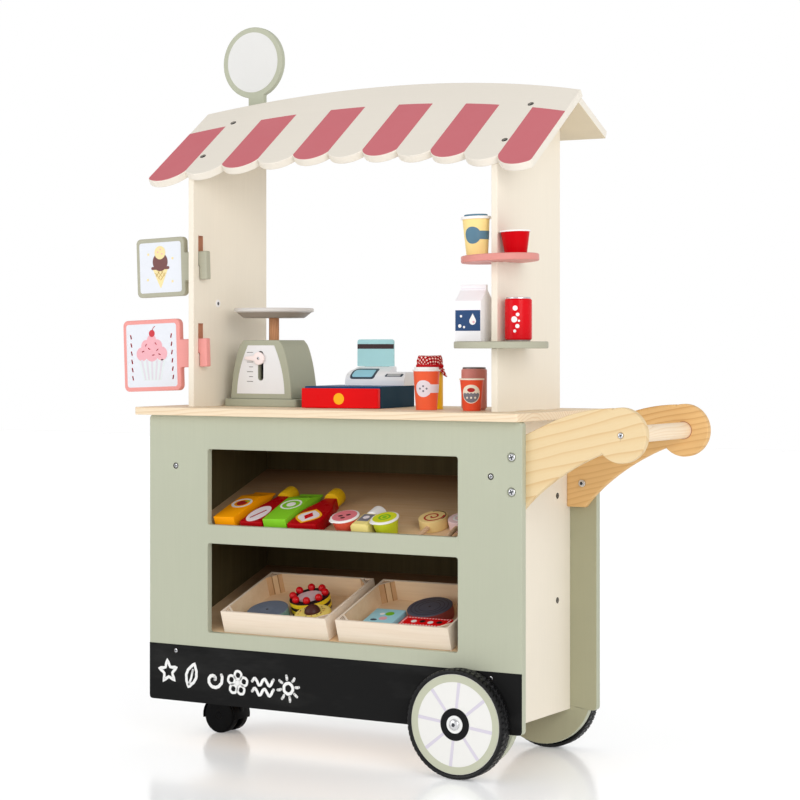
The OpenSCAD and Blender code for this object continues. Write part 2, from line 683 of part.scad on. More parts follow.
// Tapered cup: rim from z0 to z1 with radius rr, then a lid of radius rt up to h
module cup(x, y, z, r0, r1, z0, z1, rr, rt, h) {
  translate([x, y, z]) rotate_extrude($fn = 72) polygon([
    [0, 0], [r0, 0], [r1, z0], [rr, z0], [rr, z1], [rt, z1 + 0.2], [rt - 0.4, h], [0, h]]);
}
module can(x, y, z, r, h) {
  translate([x, y, z]) rotate_extrude($fn = 72) polygon([
    [0, 0], [r - 2.4, 0], [r - 2, 1.8], [r, 3.4], [r, h - 4], [r - 2, h - 2], [r - 2.4, h], [r - 4, h], [r - 4, h - 1.2], [0, h - 1.2]]);
}
module orange_cup() place() color("#ee6b3c") cup(452.6, 75, top_z + stand, 15.7, 19.5, 57, 59.2, 20.7, 18.3, 63);
module small_cup() place() color("#ea5a33") cup(531.5, 70, top_z + stand, 12.9, 17.2, 44.8, 47, 18.5, 16.2, 48);
module yellow_cup() place() color("#e9c96a") on_cup(0) cup(558.5, 38, stand, 15.6, 19.6, 53, 57, 22, 17.2, 60);
module red_cup() place() color("#cf2525") on_cup(0) cup(620.9, 38.2, stand, 15.8, 20.6, 30.6, 32.6, 22.4, 20.6, 33);
module pink_can() place() color("#c47f7a") can(513.6, 110, top_z + stand, 19, 63);
module red_can() place() color("#c9242c") can(621.3, 44, cup_z[1] + post_t + stand, 19.4, 63);
module milk_carton() place() color("#f4f3ef") translate([549, 45, cup_z[1] + post_t + stand]) {
  translate([-21, -19, 0]) linear_extrude(58) rrect(0, 0, 42, 38, 1.5);
  along_x(-21, 42) polygon([[-19, 57.9], [19, 57.9], [2.5, 73.7], [-2.5, 73.7]]);
  translate([-21, -2.5, 73.5]) cube([42, 5, 8]);
}
module jam_jar() place() {
  color("#eec21c") translate([433, 119, top_z + stand]) cylinder(r = 20, h = 58);
  color("#c22a2a") translate([433, 119, top_z + stand + 58]) rotate_extrude($fn = 48)
    polygon([[0, 0], [20.5, 0], [21.5, 8], [20, 18], [0, 20]]);
}

// ---- goods on the upper shelf ----
lift = 0.3;
// Carton lying on its back, with a gable end and a flat fin
module juice_box(x0, t0, w, h, turn) {
  on_upper() translate([x0, t0, lift]) rotate(turn) along_x(0, w)
    polygon([[0, 0], [80, 0], [112, h / 2 - 1.5], [118, h / 2 - 1.5], [118, h / 2 + 1.5], [112, h / 2 + 1.5], [80, h], [0, h]]);
}
module juice_boxes() place() color("#f0932b") {
  juice_box(114.5, 6, 37.5, 24.5, 0);
  color("#7fc242") juice_box(205.5, 5.2, 40, 25, 2.5);
}
module bottle(xc, t0, w, th, neck, cap_r, cap_l, turn) {
  on_upper() translate([xc, t0, lift]) rotate(turn) {
    color("#a81c1c") intersection() {
      linear_extrude(th) polygon(concat(
        [[-w / 2, 0], [w / 2, 0]], bez_line([[w / 2, neck - 55.5], [w / 2 - 2, neck - 27.5], [14, neck - 27.5], [10, neck]], 10),
        bez_line([[-10, neck], [-14, neck - 27.5], [-w / 2 + 2, neck - 27.5], [-w / 2, neck - 55.5]], 10)));
      along_y(-1, neck + 2) rrect(-w / 2, 0, w / 2, th, 7);
    }
    color("#e0b020") translate([0, neck - 0.5, cap_r]) rotate([-90, 0, 0]) cylinder(r = cap_r, h = cap_l);
  }
}
module sauce_bottles() place() {
  bottle(181.5, 5.1, 42, 19.5, 97.9, 12.5, 26, 0);
  bottle(272.4, 6, 51, 19.5, 97, 13.3, 22, 2);
}
module pot(xc, yc, r0, r1, h) {
  on_upper() translate([xc, yc, lift]) rotate_extrude($fn = 64)
    polygon([[0, 0], [r0, 0], [r1 - 1.5, h - 3], [r1, h - 3], [r1, h], [0, h]]);
}
module dessert_pots() place() {
  color("#e0503a") pot(340, 26, 15, 22.3, 27);
  color("#b9c821") pot(410, 25, 15, 21.5, 28);
  // small bottle lying between the pots
  color("#efd9a0") on_upper() translate([375, 5.2, lift]) {
    along_y(0, 38.8) polygon([[-11, 0], [11, 0], [15, 4], [15, 20], [11, 24], [-11, 24], [-15, 20], [-15, 4]]);
    translate([0, 38.3, 13]) rotate([-90, 0, 0]) cylinder(r = 13, h = 26.5);
  }
}
module lollipop(xc, yc, r, h) {
  on_upper() translate([xc, yc, lift]) {
    cylinder(r = r, h = h);
    translate([1, 1 - r, 8]) rotate([90, 0, 0]) cylinder(r = 3.6, h = yc - r - 4);
  }
}
module lollipops() place() {
  color("#ecd08b") lollipop(471.5, 58.5, 22, 17);
  color("#e9b9b6") lollipop(517, 62, 20, 16);
}

// ---- treats in the crates ----
module on_floor(x, t) { on_lower() translate([x, t, cr_floor + 0.6]) children(); }
module left_crate_treats() place() {
  color("#7e93a3") on_floor(188.2, 44.5) cylinder(r = 32.5, h = 18.4);
  color("#e8c93c") on_floor(238, 90) {
    cylinder(r = 31.7, h = 22.2);
    for (a = [22.5 : 45 : 337.5]) rotate(a) translate([25.2, 0, 26.4]) sphere(5.8);
  }
  color("#ecd870") on_floor(276.3, 36.7) {
    cylinder(r = 29, h = 24);
    translate([0, 0, 22.8]) intersection() { sphere(12.6); cylinder(r = 13, h = 13); }
  }
}
module right_crate_treats() place() {
  color("#a8d6df") on_floor(362, 35) linear_extrude(14.4) rrect(0, 0, 51, 47.4, 1.5);
  color("#50525a") on_floor(448.4, 92) cylinder(r = 34.6, h = 18.4);
  color("#cf2027") on_floor(428, 28) linear_extrude(18.4) rrect(0, 0, 80, 28.3, 1.5);
}

front_panel();
rear_panel();
left_side_panel();
right_side_panel();
counter_top();
bottom_board();
upper_display_shelf();
lower_display_shelf();
left_post();
right_post();
front_awning();
rear_awning();
round_sign();
upper_cup_shelf();
lower_cup_shelf();
front_handle_arm();
rear_handle_arm();
handle_bar();
wood_screws();
handle_bolts();
axle_bolts();
front_wheel_disc();
front_wheel_tyre();
front_wheel_bush();
rear_wheel_disc();
rear_wheel_tyre();
rear_wheel_bush();
castor_plate();
castor_hood();
castor_axle();
castor_front_wheel();
castor_rear_wheel();
upper_menu_sign();
lower_menu_sign();
left_crate();
right_crate();
scale_base();
scale_body();
scale_post();
scale_pan();
scale_pointer();
scale_spring();
register_base();
register_drawer();
register_console();
payment_card();
orange_cup();
small_cup();
yellow_cup();
red_cup();
pink_can();
red_can();
milk_carton();
jam_jar();
juice_boxes();
sauce_bottles();
dessert_pots();
lollipops();
left_crate_treats();
right_crate_treats();
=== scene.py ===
"""Looks of the toy market stall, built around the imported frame.

Working frame of the helpers: millimetres, X from the front panel's left edge,
Y from its front face towards the back, Z from its bottom edge.
"""
import json
import math
import random

import bmesh
import bpy
from mathutils import Matrix, Vector, noise

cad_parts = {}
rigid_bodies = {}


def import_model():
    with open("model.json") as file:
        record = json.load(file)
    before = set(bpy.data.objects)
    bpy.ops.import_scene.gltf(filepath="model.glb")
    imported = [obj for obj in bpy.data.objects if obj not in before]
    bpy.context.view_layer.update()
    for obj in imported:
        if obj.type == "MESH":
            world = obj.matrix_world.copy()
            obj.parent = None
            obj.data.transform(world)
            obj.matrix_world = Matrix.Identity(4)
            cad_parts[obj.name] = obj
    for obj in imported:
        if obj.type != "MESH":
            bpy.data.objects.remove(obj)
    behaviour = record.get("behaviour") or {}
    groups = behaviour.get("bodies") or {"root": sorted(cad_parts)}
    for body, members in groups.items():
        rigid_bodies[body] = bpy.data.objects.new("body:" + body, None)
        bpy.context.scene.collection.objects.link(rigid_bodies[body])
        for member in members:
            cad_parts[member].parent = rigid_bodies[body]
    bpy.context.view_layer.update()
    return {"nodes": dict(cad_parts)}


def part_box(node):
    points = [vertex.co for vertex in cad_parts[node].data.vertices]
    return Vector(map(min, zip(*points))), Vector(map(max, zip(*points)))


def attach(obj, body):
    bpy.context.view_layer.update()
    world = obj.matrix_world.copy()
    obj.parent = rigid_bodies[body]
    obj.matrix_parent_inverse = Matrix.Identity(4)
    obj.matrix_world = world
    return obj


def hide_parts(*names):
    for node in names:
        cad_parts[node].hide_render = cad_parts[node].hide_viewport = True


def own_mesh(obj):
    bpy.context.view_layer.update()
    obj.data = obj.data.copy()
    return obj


for o in list(bpy.data.objects):
    bpy.data.objects.remove(o)
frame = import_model()
NODES = frame["nodes"]
random.seed(7)

# ---------------------------------------------------------------- frames
lo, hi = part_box("front_panel")
W = Matrix.Translation((lo.x, lo.y, hi.z - 0.44)) @ Matrix.Scale(0.001, 4)


def T(x, y, z):
    return Matrix.Translation((x, y, z))


def R(deg, axis):
    return Matrix.Rotation(math.radians(deg), 4, axis)


UP_A = math.degrees(math.atan(0.370))
LO_A = math.degrees(math.atan(0.344))
UPPER = W @ T(0, 12, 260) @ R(UP_A, "X")
LOWER = W @ T(0, 12, 109) @ R(LO_A, "X")
AWNING = W @ T(0, 58, 843) @ R(35.8, "X")
CUPS = W @ T(591.7, 0, 666.5) @ R(-2.4, "Y") @ T(-591.7, 0, 10)  # top of the drooping round shelf
TILL = W @ T(239.9, 62, 452) @ R(7, "Z")
SEEN = -59.5  # direction in plan, in degrees, from the stall to the viewer


# ---------------------------------------------------------------- materials
def srgb(r, g, b):
    def f(c):
        c = max(0.0, min(1.0, c / 255))
        return c / 12.92 if c <= 0.04045 else ((c + 0.055) / 1.055) ** 2.4
    return (f(r), f(g), f(b), 1.0)


def times(c, k):
    return tuple(min(1.0, x * k) for x in c[:3]) + (1.0,)


class Mat:
    """A material's node tree, with short ways to add nodes."""

    def __init__(self, name):
        self.mat = bpy.data.materials.new(name)
        self.mat.use_nodes = True
        self.n = self.mat.node_tree.nodes
        self.l = self.mat.node_tree.links
        self.bsdf = self.n["Principled BSDF"]

    def new(self, kind, **kw):
        node = self.n.new(kind)
        for k, v in kw.items():
            setattr(node, k, v)
        return node

    def put(self, socket, value):
        if hasattr(value, "links"):
            self.l.new(value, socket)
        else:
            socket.default_value = value

    def coords(self, scale=(1, 1, 1), rot=(0, 0, 0), loc=(0, 0, 0), kind="Object"):
        t = self.new("ShaderNodeTexCoord")
        m = self.new("ShaderNodeMapping")
        m.inputs["Scale"].default_value = scale
        m.inputs["Rotation"].default_value = [math.radians(a) for a in rot]
        m.inputs["Location"].default_value = loc
        self.l.new(t.outputs[kind], m.inputs["Vector"])
        return m.outputs["Vector"]

    def turn(self, vec, scale=(1, 1, 1), rot=(0, 0, 0), loc=(0, 0, 0)):
        m = self.new("ShaderNodeMapping")
        m.inputs["Scale"].default_value = scale
        m.inputs["Rotation"].default_value = [math.radians(a) for a in rot]
        m.inputs["Location"].default_value = loc
        self.l.new(vec, m.inputs["Vector"])
        return m.outputs["Vector"]

    def noise(self, vec, scale, detail=2.0, rough=0.5, out="Fac"):
        t = self.new("ShaderNodeTexNoise")
        t.inputs["Scale"].default_value = scale
        t.inputs["Detail"].default_value = detail
        t.inputs["Roughness"].default_value = rough
        self.l.new(vec, t.inputs["Vector"])
        return t.outputs[out]

    def math(self, op, a, b=0.0, c=0.0):
        m = self.new("ShaderNodeMath", operation=op)
        self.put(m.inputs[0], a)
        self.put(m.inputs[1], b)
        if op in ("MULTIPLY_ADD", "WRAP", "COMPARE", "SMOOTH_MIN"):
            self.put(m.inputs[2], c)
        return m.outputs[0]

    def span(self, v, a, b, c=0.0, d=1.0):
        m = self.new("ShaderNodeMapRange")
        self.l.new(v, m.inputs["Value"])
        for k, x in zip(("From Min", "From Max", "To Min", "To Max"), (a, b, c, d)):
            m.inputs[k].default_value = x
        return m.outputs["Result"]

    def ramp(self, fac, *stops):
        r = self.new("ShaderNodeValToRGB")
        e = r.color_ramp.elements
        while len(e) < len(stops):
            e.new(0.5)
        for i, (p, c) in enumerate(stops):
            e[i].position = p
            e[i].color = c
        self.l.new(fac, r.inputs["Fac"])
        return r.outputs["Color"]

    def mix(self, fac, a, b, mode="MIX"):
        m = self.new("ShaderNodeMix", data_type="RGBA", blend_type=mode)
        self.put(m.inputs["Factor"], fac)
        self.put(m.inputs[6], a)
        self.put(m.inputs[7], b)
        return m.outputs[2]

    def bump(self, height, strength=0.2, distance=0.0004):
        b = self.new("ShaderNodeBump")
        b.inputs["Strength"].default_value = strength
        b.inputs["Distance"].default_value = distance
        self.l.new(height, b.inputs["Height"])
        self.l.new(b.outputs["Normal"], self.bsdf.inputs["Normal"])

    def set(self, color=None, rough=0.5, metal=0.0, coat=0.0, spec=0.5, sheen=0.0):
        i = self.bsdf.inputs
        if color is not None:
            self.put(i["Base Color"], color)
        self.put(i["Roughness"], rough)
        i["Metallic"].default_value = metal
        i["Coat Weight"].default_value = coat
        i["Coat Roughness"].default_value = 0.12
        i["Specular IOR Level"].default_value = spec
        i["Sheen Weight"].default_value = sheen
        return self.mat


STRETCH = {"X": (9, 330, 330), "Y": (330, 9, 330), "Z": (330, 330, 9)}


def paint(name, rgb, rough=0.42, var=0.035, grain=None, bump=0.10, coat=0.0, spec=0.15):
    """Paint on wood: slight unevenness, fine pores, and the wood's grain shining through."""
    m = Mat(name)
    base = srgb(*rgb)
    co = m.coords()
    c = m.ramp(m.noise(co, 5.0, 3.0), (0.3, times(base, 1 - var)), (0.7, times(base, 1 + 0.5 * var)))
    pores = m.noise(co, 850.0, 2.0)
    height = pores
    if grain:
        g = m.noise(m.coords(STRETCH[grain]), 1.0, 3.0, 0.6)
        c = m.mix(m.span(g, 0.35, 0.75, 0.0, 0.35), c, times(base, 1 - 2.2 * var))
        height = m.math("ADD", m.math("MULTIPLY", g, 1.3), m.math("MULTIPLY", pores, 0.5))
    m.bump(height, bump, 0.0003)
    r = m.span(m.noise(co, 23.0, 2.0), 0.3, 0.7, rough - 0.05, rough + 0.06)
    return m.set(c, r, coat=coat, spec=spec)


def pine(name, axis, light, mid, dark, pith, tilt=(0, 4, 3), ring=0.0042, rough=0.5, depth=1.0):
    """Sawn softwood. Growth rings run round a pith line beside the board, so that
    flat faces show arched grain and the ends show the rings themselves."""
    m = Mat(name)
    turn = {"X": (0, 0, 0), "Y": (0, 0, -90), "Z": (0, 90, 0)}[axis]
    co = m.coords(loc=tuple(-p for p in pith))
    co = m.turn(co, rot=turn)
    co = m.turn(co, rot=tilt)
    wob = m.noise(m.turn(co, scale=(5, 16, 16)), 1.0, 2.0, 0.5, out="Color")
    v = m.new("ShaderNodeVectorMath", operation="MULTIPLY_ADD")
    m.l.new(wob, v.inputs[0])
    v.inputs[1].default_value = (0.018, 0.018, 0.018)
    m.l.new(co, v.inputs[2])
    wave = m.new("ShaderNodeTexWave", wave_type="RINGS", rings_direction="X", wave_profile="SAW")
    wave.inputs["Scale"].default_value = 2 * math.pi / (20 * ring)
    wave.inputs["Distortion"].default_value = 0.7
    wave.inputs["Detail"].default_value = 2.0
    wave.inputs["Detail Scale"].default_value = 0.3
    m.l.new(v.outputs[0], wave.inputs["Vector"])
    a, b, c = srgb(*light), srgb(*mid), srgb(*dark)
    col = m.ramp(wave.outputs["Fac"], (0.0, a), (0.45, a), (0.78, b), (0.93, c), (1.0, a))
    broad = m.noise(m.turn(co, scale=(2, 14, 14)), 1.0, 2.0)
    col = m.mix(m.span(broad, 0.35, 0.7, 0.55 * depth, 0.0), col, a)
    fibre = m.noise(m.turn(co, scale=(18, 700, 700)), 1.0, 3.0, 0.6)
    col = m.mix(m.span(fibre, 0.4, 0.75, 0.0, 0.22 * depth), col, b)
    m.bump(fibre, 0.12, 0.0003)
    return m.set(col, m.span(fibre, 0.3, 0.7, rough - 0.06, rough + 0.08), spec=0.15)


def veneer(name, axis, light, dark, rough=0.55, amount=0.5, back_shade=None):
    """Birch-like face veneer with long soft streaks."""
    m = Mat(name)
    a, b = srgb(*light), srgb(*dark)
    s = {"X": (4, 60, 60), "Y": (60, 4, 60), "Z": (60, 60, 4)}[axis]
    broad = m.noise(m.coords(s), 1.0, 3.0, 0.55)
    fine = m.noise(m.coords(STRETCH[axis]), 1.0, 3.0, 0.6)
    c = m.mix(m.span(broad, 0.35, 0.72, 0.0, amount), a, b)
    c = m.mix(m.span(fine, 0.45, 0.8, 0.0, 0.35), c, times(b, 0.9))
    if back_shade:
        # painted shade: darker towards the back of the bay, where the shelf lies in the bay's shadow
        y = m.new("ShaderNodeSeparateXYZ")
        m.l.new(m.coords(), y.inputs[0])
        c = m.mix(m.span(y.outputs[1], back_shade[0], back_shade[1], 0.0, back_shade[2]), c, srgb(86, 48, 18))
    m.bump(fine, 0.10, 0.0003)
    return m.set(c, m.span(fine, 0.3, 0.7, rough - 0.05, rough + 0.08), spec=0.1)


def enamel(name, rgb, rough=0.3, var=0.03, coat=0.04, bump=0.05, spec=0.14):
    """Glossy paint on a turned or sawn toy."""
    m = Mat(name)
    base = srgb(*rgb)
    co = m.coords()
    c = m.ramp(m.noise(co, 22.0, 2.0), (0.3, times(base, 1 - var)), (0.7, times(base, 1 + 0.6 * var)))
    m.bump(m.noise(co, 420.0, 2.0), bump, 0.0003)
    return m.set(c, m.span(m.noise(co, 60.0, 2.0), 0.3, 0.7, rough - 0.05, rough + 0.06), coat=coat, spec=spec)


def metal(name, rgb, rough=0.22):
    m = Mat(name)
    co = m.coords()
    r = m.span(m.noise(co, 500.0, 3.0), 0.3, 0.7, rough - 0.05, rough + 0.1)
    return m.set(srgb(*rgb), r, metal=1.0)


def rubber(name, rgb, rough=0.55, spec=0.05):
    m = Mat(name)
    co = m.coords()
    base = srgb(*rgb)
    c = m.ramp(m.noise(co, 90.0, 4.0), (0.35, times(base, 0.8)), (0.75, times(base, 1.5)))
    m.bump(m.noise(co, 900.0, 3.0), 0.15, 0.0003)
    return m.set(c, m.span(m.noise(co, 40.0, 2.0), 0.3, 0.7, rough - 0.1, rough + 0.1), spec=spec)


def chalkboard(name):
    m = Mat(name)
    co = m.coords()
    base = srgb(30, 30, 30)
    smear = m.noise(m.coords((6, 6, 22)), 1.0, 4.0, 0.6)
    c = m.mix(m.span(smear, 0.5, 0.85, 0.0, 0.10), base, srgb(120, 120, 118))
    m.bump(m.noise(co, 700.0, 2.0), 0.12, 0.0003)
    return m.set(c, 0.62, spec=0.03)


def gingham(name, rgb, pale):
    """Woven check by the cloth's own flat coordinates: two crossing sets of stripes."""
    m = Mat(name)
    red, white = srgb(*rgb), srgb(*pale)
    uv = m.coords(kind="UV")
    s = m.new("ShaderNodeSeparateXYZ")
    m.l.new(uv, s.inputs[0])
    def stripe(v):
        f = m.math("FRACT", m.math("MULTIPLY", v, 15.0))
        return m.math("GREATER_THAN", f, 0.5)
    both = m.math("ADD", stripe(s.outputs[0]), stripe(s.outputs[1]))
    c = m.ramp(m.math("MULTIPLY", both, 0.5), (0.0, white), (0.5, srgb(198, 30, 34)), (1.0, red))
    r = c.node.color_ramp
    r.interpolation = "CONSTANT"
    r.elements[1].position = 0.3
    r.elements[2].position = 0.8
    weave = m.noise(m.coords((1400, 1400, 1400), kind="UV"), 0.25, 2.0)
    m.bump(weave, 0.3, 0.0004)
    return m.set(c, 0.85, sheen=0.0, spec=0.05)


SAGE = paint("sage_paint", (183, 186, 165), grain="Z")
# painted shade: a darker, yellower copy of the sage paint for the rear panel's inner face, standing in for the side
# panel's shadow
SAGE_REAR_SHADE = paint("sage_paint_rear_shaded", (171, 169, 141), grain="Z")
SAGE_X = paint("sage_paint_shelf", (177, 175, 155), grain="X")
SAGE_S = paint("sage_paint_scale", (171, 172, 151), grain="Z")
CREAM = paint("cream_paint", (238, 229, 212), grain="Z", var=0.03)
CREAM_X = paint("cream_paint_roof", (233, 226, 213), grain="X", var=0.02)
ROSE = paint("rose_stripe", (203, 110, 117), rough=0.5, var=0.025)
PINK = paint("pink_paint", (236, 158, 152), grain="X")
CHALK = chalkboard("chalkboard_black")
CHALK_MARK = paint("chalk_mark", (240, 240, 238), rough=0.8, var=0.05, bump=0.3)
COUNTER = pine("counter_pine", "X", (237, 218, 189), (229, 203, 168), (209, 175, 138), (0.0, -0.07, 0.43),
               tilt=(0, 1.0, 2.5), ring=0.005, depth=1.2)
ARM = pine("arm_pine", "X", (226, 202, 159), (220, 190, 142), (206, 164, 111), (0.24, -0.128, 0.33),
           tilt=(0, 15, 7), ring=0.015)
ARM_REAR = pine("rear_arm_pine", "X", (228, 186, 128), (216, 170, 108), (194, 140, 80), (0.3, 0.125, 0.33),
                tilt=(0, 10, 5), ring=0.0085)
BAR = pine("bar_beech", "Y", (243, 224, 196), (236, 210, 176), (222, 190, 150), (0.40, 0, 0.44), ring=0.004, tilt=(0, 1, 1))
SHELF = veneer("shelf_plywood", "X", (234, 203, 163), (218, 176, 128), back_shade=(-0.08, 0.11, 0.86))
# painted shade: a raw board colour, darkened well below it to stand in for the shade inside the closed cabinet
INNER_SHADE = veneer("raw_board_shaded", "Z", (86, 76, 50), (66, 56, 34), rough=0.7)
# painted shade: dark colour for the shadow inside countersunk holes
RECESS_SHADE = paint("screw_recess_shade", (50, 45, 41), rough=0.6)
BIRCH = veneer("crate_birch", "X", (238, 223, 204), (228, 206, 179), amount=0.4)
BLOCK = veneer("block_wood", "Z", (216, 176, 132), (192, 146, 104))
BLOCK_PALE = veneer("block_wood_pale", "Z", (232, 202, 160), (216, 180, 136))
BLOCK_DARK = veneer("block_wood_dark", "Z", (168, 120, 82), (146, 100, 66))
BIRCH_IN = veneer("crate_birch_inside", "X", (238, 212, 178), (226, 192, 150), amount=0.4)
BROWN_CORE = paint("board_core", (176, 122, 94), rough=0.75, var=0.08, bump=0.3)
POST_WOOD = pine("scale_post_wood", "Z", (204, 148, 108), (188, 130, 92), (158, 104, 70), (-0.225, 0.02, 0.5), ring=0.003, tilt=(0, 2, 2))
STICK = pine("stick_wood", "Y", (222, 186, 150), (206, 164, 126), (184, 140, 104), (0.1, 0, 0.3), ring=0.003, tilt=(0, 2, 2))
CHROME = metal("chrome", (214, 214, 216), 0.2)
# dark steel, also used as painted shade for cross recesses, sockets and heads sunk in dark holes
DARK_STEEL_AND_SHADE = metal("dark_steel_and_recess_shade", (70, 72, 76), 0.35)
ZINC = metal("zinc_plate", (186, 188, 190), 0.38)
TYRE = rubber("tyre_rubber", (13, 13, 14), 0.36, 0.25)
CASTOR = rubber("castor_black", (9, 9, 10), 0.42)
WHEEL_WHITE = paint("wheel_white", (231, 230, 226), rough=0.4, var=0.015)
WHEEL_SAGE = paint("wheel_sage", (190, 192, 170), rough=0.4, var=0.02)
SPOKE = paint("wheel_spoke", (211, 205, 217), rough=0.4, var=0.015)
HUB_BLACK = paint("wheel_hub_black", (28, 28, 29), rough=0.45, var=0.02, spec=0.05)
NYLON = enamel("bush_nylon", (238, 238, 236), rough=0.35)
FACE = paint("sign_face", (226, 229, 235), rough=0.35, var=0.01, bump=0.04)
SIGN_FACE = paint("round_sign_white", (222, 222, 219), rough=0.4, var=0.01, bump=0.04)
PINK_SHELF = paint("pink_shelf_paint", (219, 145, 136), grain="X")
RAW_UNDER = paint("raw_underside", (220, 207, 180), grain="X", var=0.03)
DIAL = paint("dial_face", (231, 230, 230), rough=0.4, var=0.01, bump=0.04)
TICK = paint("dial_tick", (140, 137, 134), rough=0.5)
POINTER = enamel("pointer_pink", (246, 231, 228), rough=0.4)
PAN = paint("pan_grey", (212, 208, 203), rough=0.35, var=0.02)
# painted shade: a darker copy of the pan's grey for its underside
PAN_UNDER_SHADE = paint("pan_grey_under_shaded", (146, 136, 124), rough=0.4, var=0.02)
# painted shade: dark colour for the shaded opening of the till's card slot
SLOT_SHADE = paint("slot_shade", (40, 42, 42), rough=0.6)
NAVY = enamel("till_navy", (20, 54, 74), rough=0.35, coat=0.0, spec=0.02)
BLUE_EDGE = enamel("till_blue", (28, 82, 132), rough=0.35, coat=0.0, spec=0.05)
RED = enamel("till_red", (226, 18, 22), rough=0.32, coat=0.0, spec=0.05)
YELLOW_DOT = enamel("till_yellow", (250, 184, 22), rough=0.35)
CONSOLE = paint("console_grey", (240, 241, 244), rough=0.35, var=0.012)
SLATE = enamel("slate", (66, 78, 90), rough=0.35)
SCREEN = enamel("screen_blue", (150, 206, 224), rough=0.2, coat=0.4)
CARD = enamel("card_aqua", (178, 227, 231), rough=0.3)
CARD_BAND = enamel("card_band", (66, 48, 50), rough=0.35)
CORAL = enamel("cup_coral", (238, 98, 60), rough=0.38)
ORANGE_RED = enamel("cup_red_orange", (232, 82, 50), rough=0.38)
WHITE = enamel("white_lid", (243, 240, 238), rough=0.35)
CREAM_RIM = enamel("cream_rim", (246, 232, 214), rough=0.4)
LILAC = enamel("pale_label", (230, 220, 227), rough=0.4)
GREY_LABEL = enamel("grey_label", (122, 120, 130), rough=0.4)
CREAM_LABEL = enamel("cream_label", (238, 226, 208), rough=0.4)
YELLOW = enamel("cup_yellow", (248, 222, 150), rough=0.38)
TEAL_BLUE = enamel("label_blue", (92, 128, 148), rough=0.4)
DEEP_BLUE = enamel("label_deep_blue", (40, 72, 116), rough=0.4)
CUP_RED = enamel("cup_red", (200, 3, 16), rough=0.34, coat=0.0, spec=0.05)
CAN_RED = enamel("can_red", (214, 8, 22), rough=0.25, coat=0.08, spec=0.08)
CAN_PINK = enamel("can_pink", (216, 140, 130), rough=0.32)
TIN = metal("tin", (206, 206, 208), 0.3)
TIN_DARK = metal("tin_dark", (112, 106, 104), 0.4)
SLOT_GREY = paint("slot_grey", (176, 178, 180), rough=0.5, var=0.01)
CARTON = paint("carton_white", (243, 241, 243), rough=0.4, var=0.01)
JAR = enamel("jar_yellow", (255, 204, 8), rough=0.34)
BAND_RED = enamel("band_red", (196, 10, 22), rough=0.5)
ORANGE = enamel("box_orange", (255, 164, 8), rough=0.35, spec=0.06)
LIME = enamel("box_lime", (132, 202, 40), rough=0.35)
BOTTLE = enamel("bottle_red", (170, 10, 18), rough=0.3, coat=0.0, spec=0.05)
CAP = enamel("cap_yellow", (226, 180, 22), rough=0.4)
LABEL = enamel("label_white", (240, 228, 232), rough=0.4)
POT_CORAL = enamel("pot_coral", (232, 92, 68), rough=0.38)
POT_LIME = enamel("pot_lime", (204, 212, 44), rough=0.38)
LID_PINK = enamel("lid_pink", (226, 122, 132), rough=0.4)
LID_LIME = enamel("lid_lime", (214, 220, 40), rough=0.4)
CUSTARD = enamel("bottle_custard", (236, 218, 138), rough=0.38)
BISCUIT = enamel("biscuit", (236, 206, 140), rough=0.5)
SPIRAL = enamel("spiral_red", (176, 34, 34), rough=0.45)
CHOCO = enamel("chocolate", (74, 40, 36), rough=0.35)
ROSE_PALE = enamel("lolly_pink", (238, 206, 206), rough=0.45)
GREYBLUE = enamel("disc_grey_blue", (112, 122, 138), rough=0.42)
TEAL_SIDE = enamel("disc_teal_side", (120, 160, 160), rough=0.42)
CAKE_YELLOW = enamel("cake_yellow", (240, 208, 40), rough=0.4)
CAKE_DARK = enamel("cake_dark", (40, 28, 30), rough=0.4)
CAKE_TOP = enamel("cake_top", (226, 200, 206), rough=0.45)
BERRY = enamel("berry_red", (206, 18, 26), rough=0.28, coat=0.3)
COOKIE = enamel("cookie_yellow", (244, 218, 116), rough=0.45)
PALE_BLUE = enamel("box_pale_blue", (162, 214, 226), rough=0.4)
LEAF = enamel("leaf_green", (120, 190, 40), rough=0.4)
DISC_DARK = enamel("disc_dark", (84, 84, 96), rough=0.42)
DISC_RED = enamel("disc_red_side", (150, 70, 66), rough=0.42)
CLOTH = gingham("cover_gingham", (150, 4, 12), (250, 226, 218))
SCOOP_BROWN = enamel("scoop_brown", (120, 80, 78), rough=0.4)
CONE = enamel("cone_yellow", (242, 222, 164), rough=0.4)
CONE_LINE = enamel("cone_line", (214, 180, 112), rough=0.4)
PRINT_LILAC = enamel("print_lilac", (221, 214, 222), rough=0.4)
PRINT_MINT = enamel("print_mint", (222, 230, 230), rough=0.4)
PRINT_ROSE = enamel("print_rose", (236, 176, 184), rough=0.4)
PRINT_RED = enamel("print_red", (204, 62, 72), rough=0.4)


# ---------------------------------------------------------------- shapes
def circle(cx, cy, r, n=48, a0=0.0):
    return [(cx + r * math.cos(math.radians(a0) + 2 * math.pi * i / n),
             cy + r * math.sin(math.radians(a0) + 2 * math.pi * i / n)) for i in range(n)]


def ellipse(cx, cy, a, b, n=48, turn=0.0):
    t = math.radians(turn)
    return [(cx + a * math.cos(2 * math.pi * i / n) * math.cos(t) - b * math.sin(2 * math.pi * i / n) * math.sin(t),
             cy + a * math.cos(2 * math.pi * i / n) * math.sin(t) + b * math.sin(2 * math.pi * i / n) * math.cos(t))
            for i in range(n)]


def rrect(x0, y0, x1, y1, r, n=6):
    pts = []
    for cx, cy, a in ((x1 - r, y0 + r, -90), (x1 - r, y1 - r, 0), (x0 + r, y1 - r, 90), (x0 + r, y0 + r, 180)):
        for i in range(n + 1):
            t = math.radians(a + 90 * i / n)
            pts.append((cx + r * math.cos(t), cy + r * math.sin(t)))
    return pts


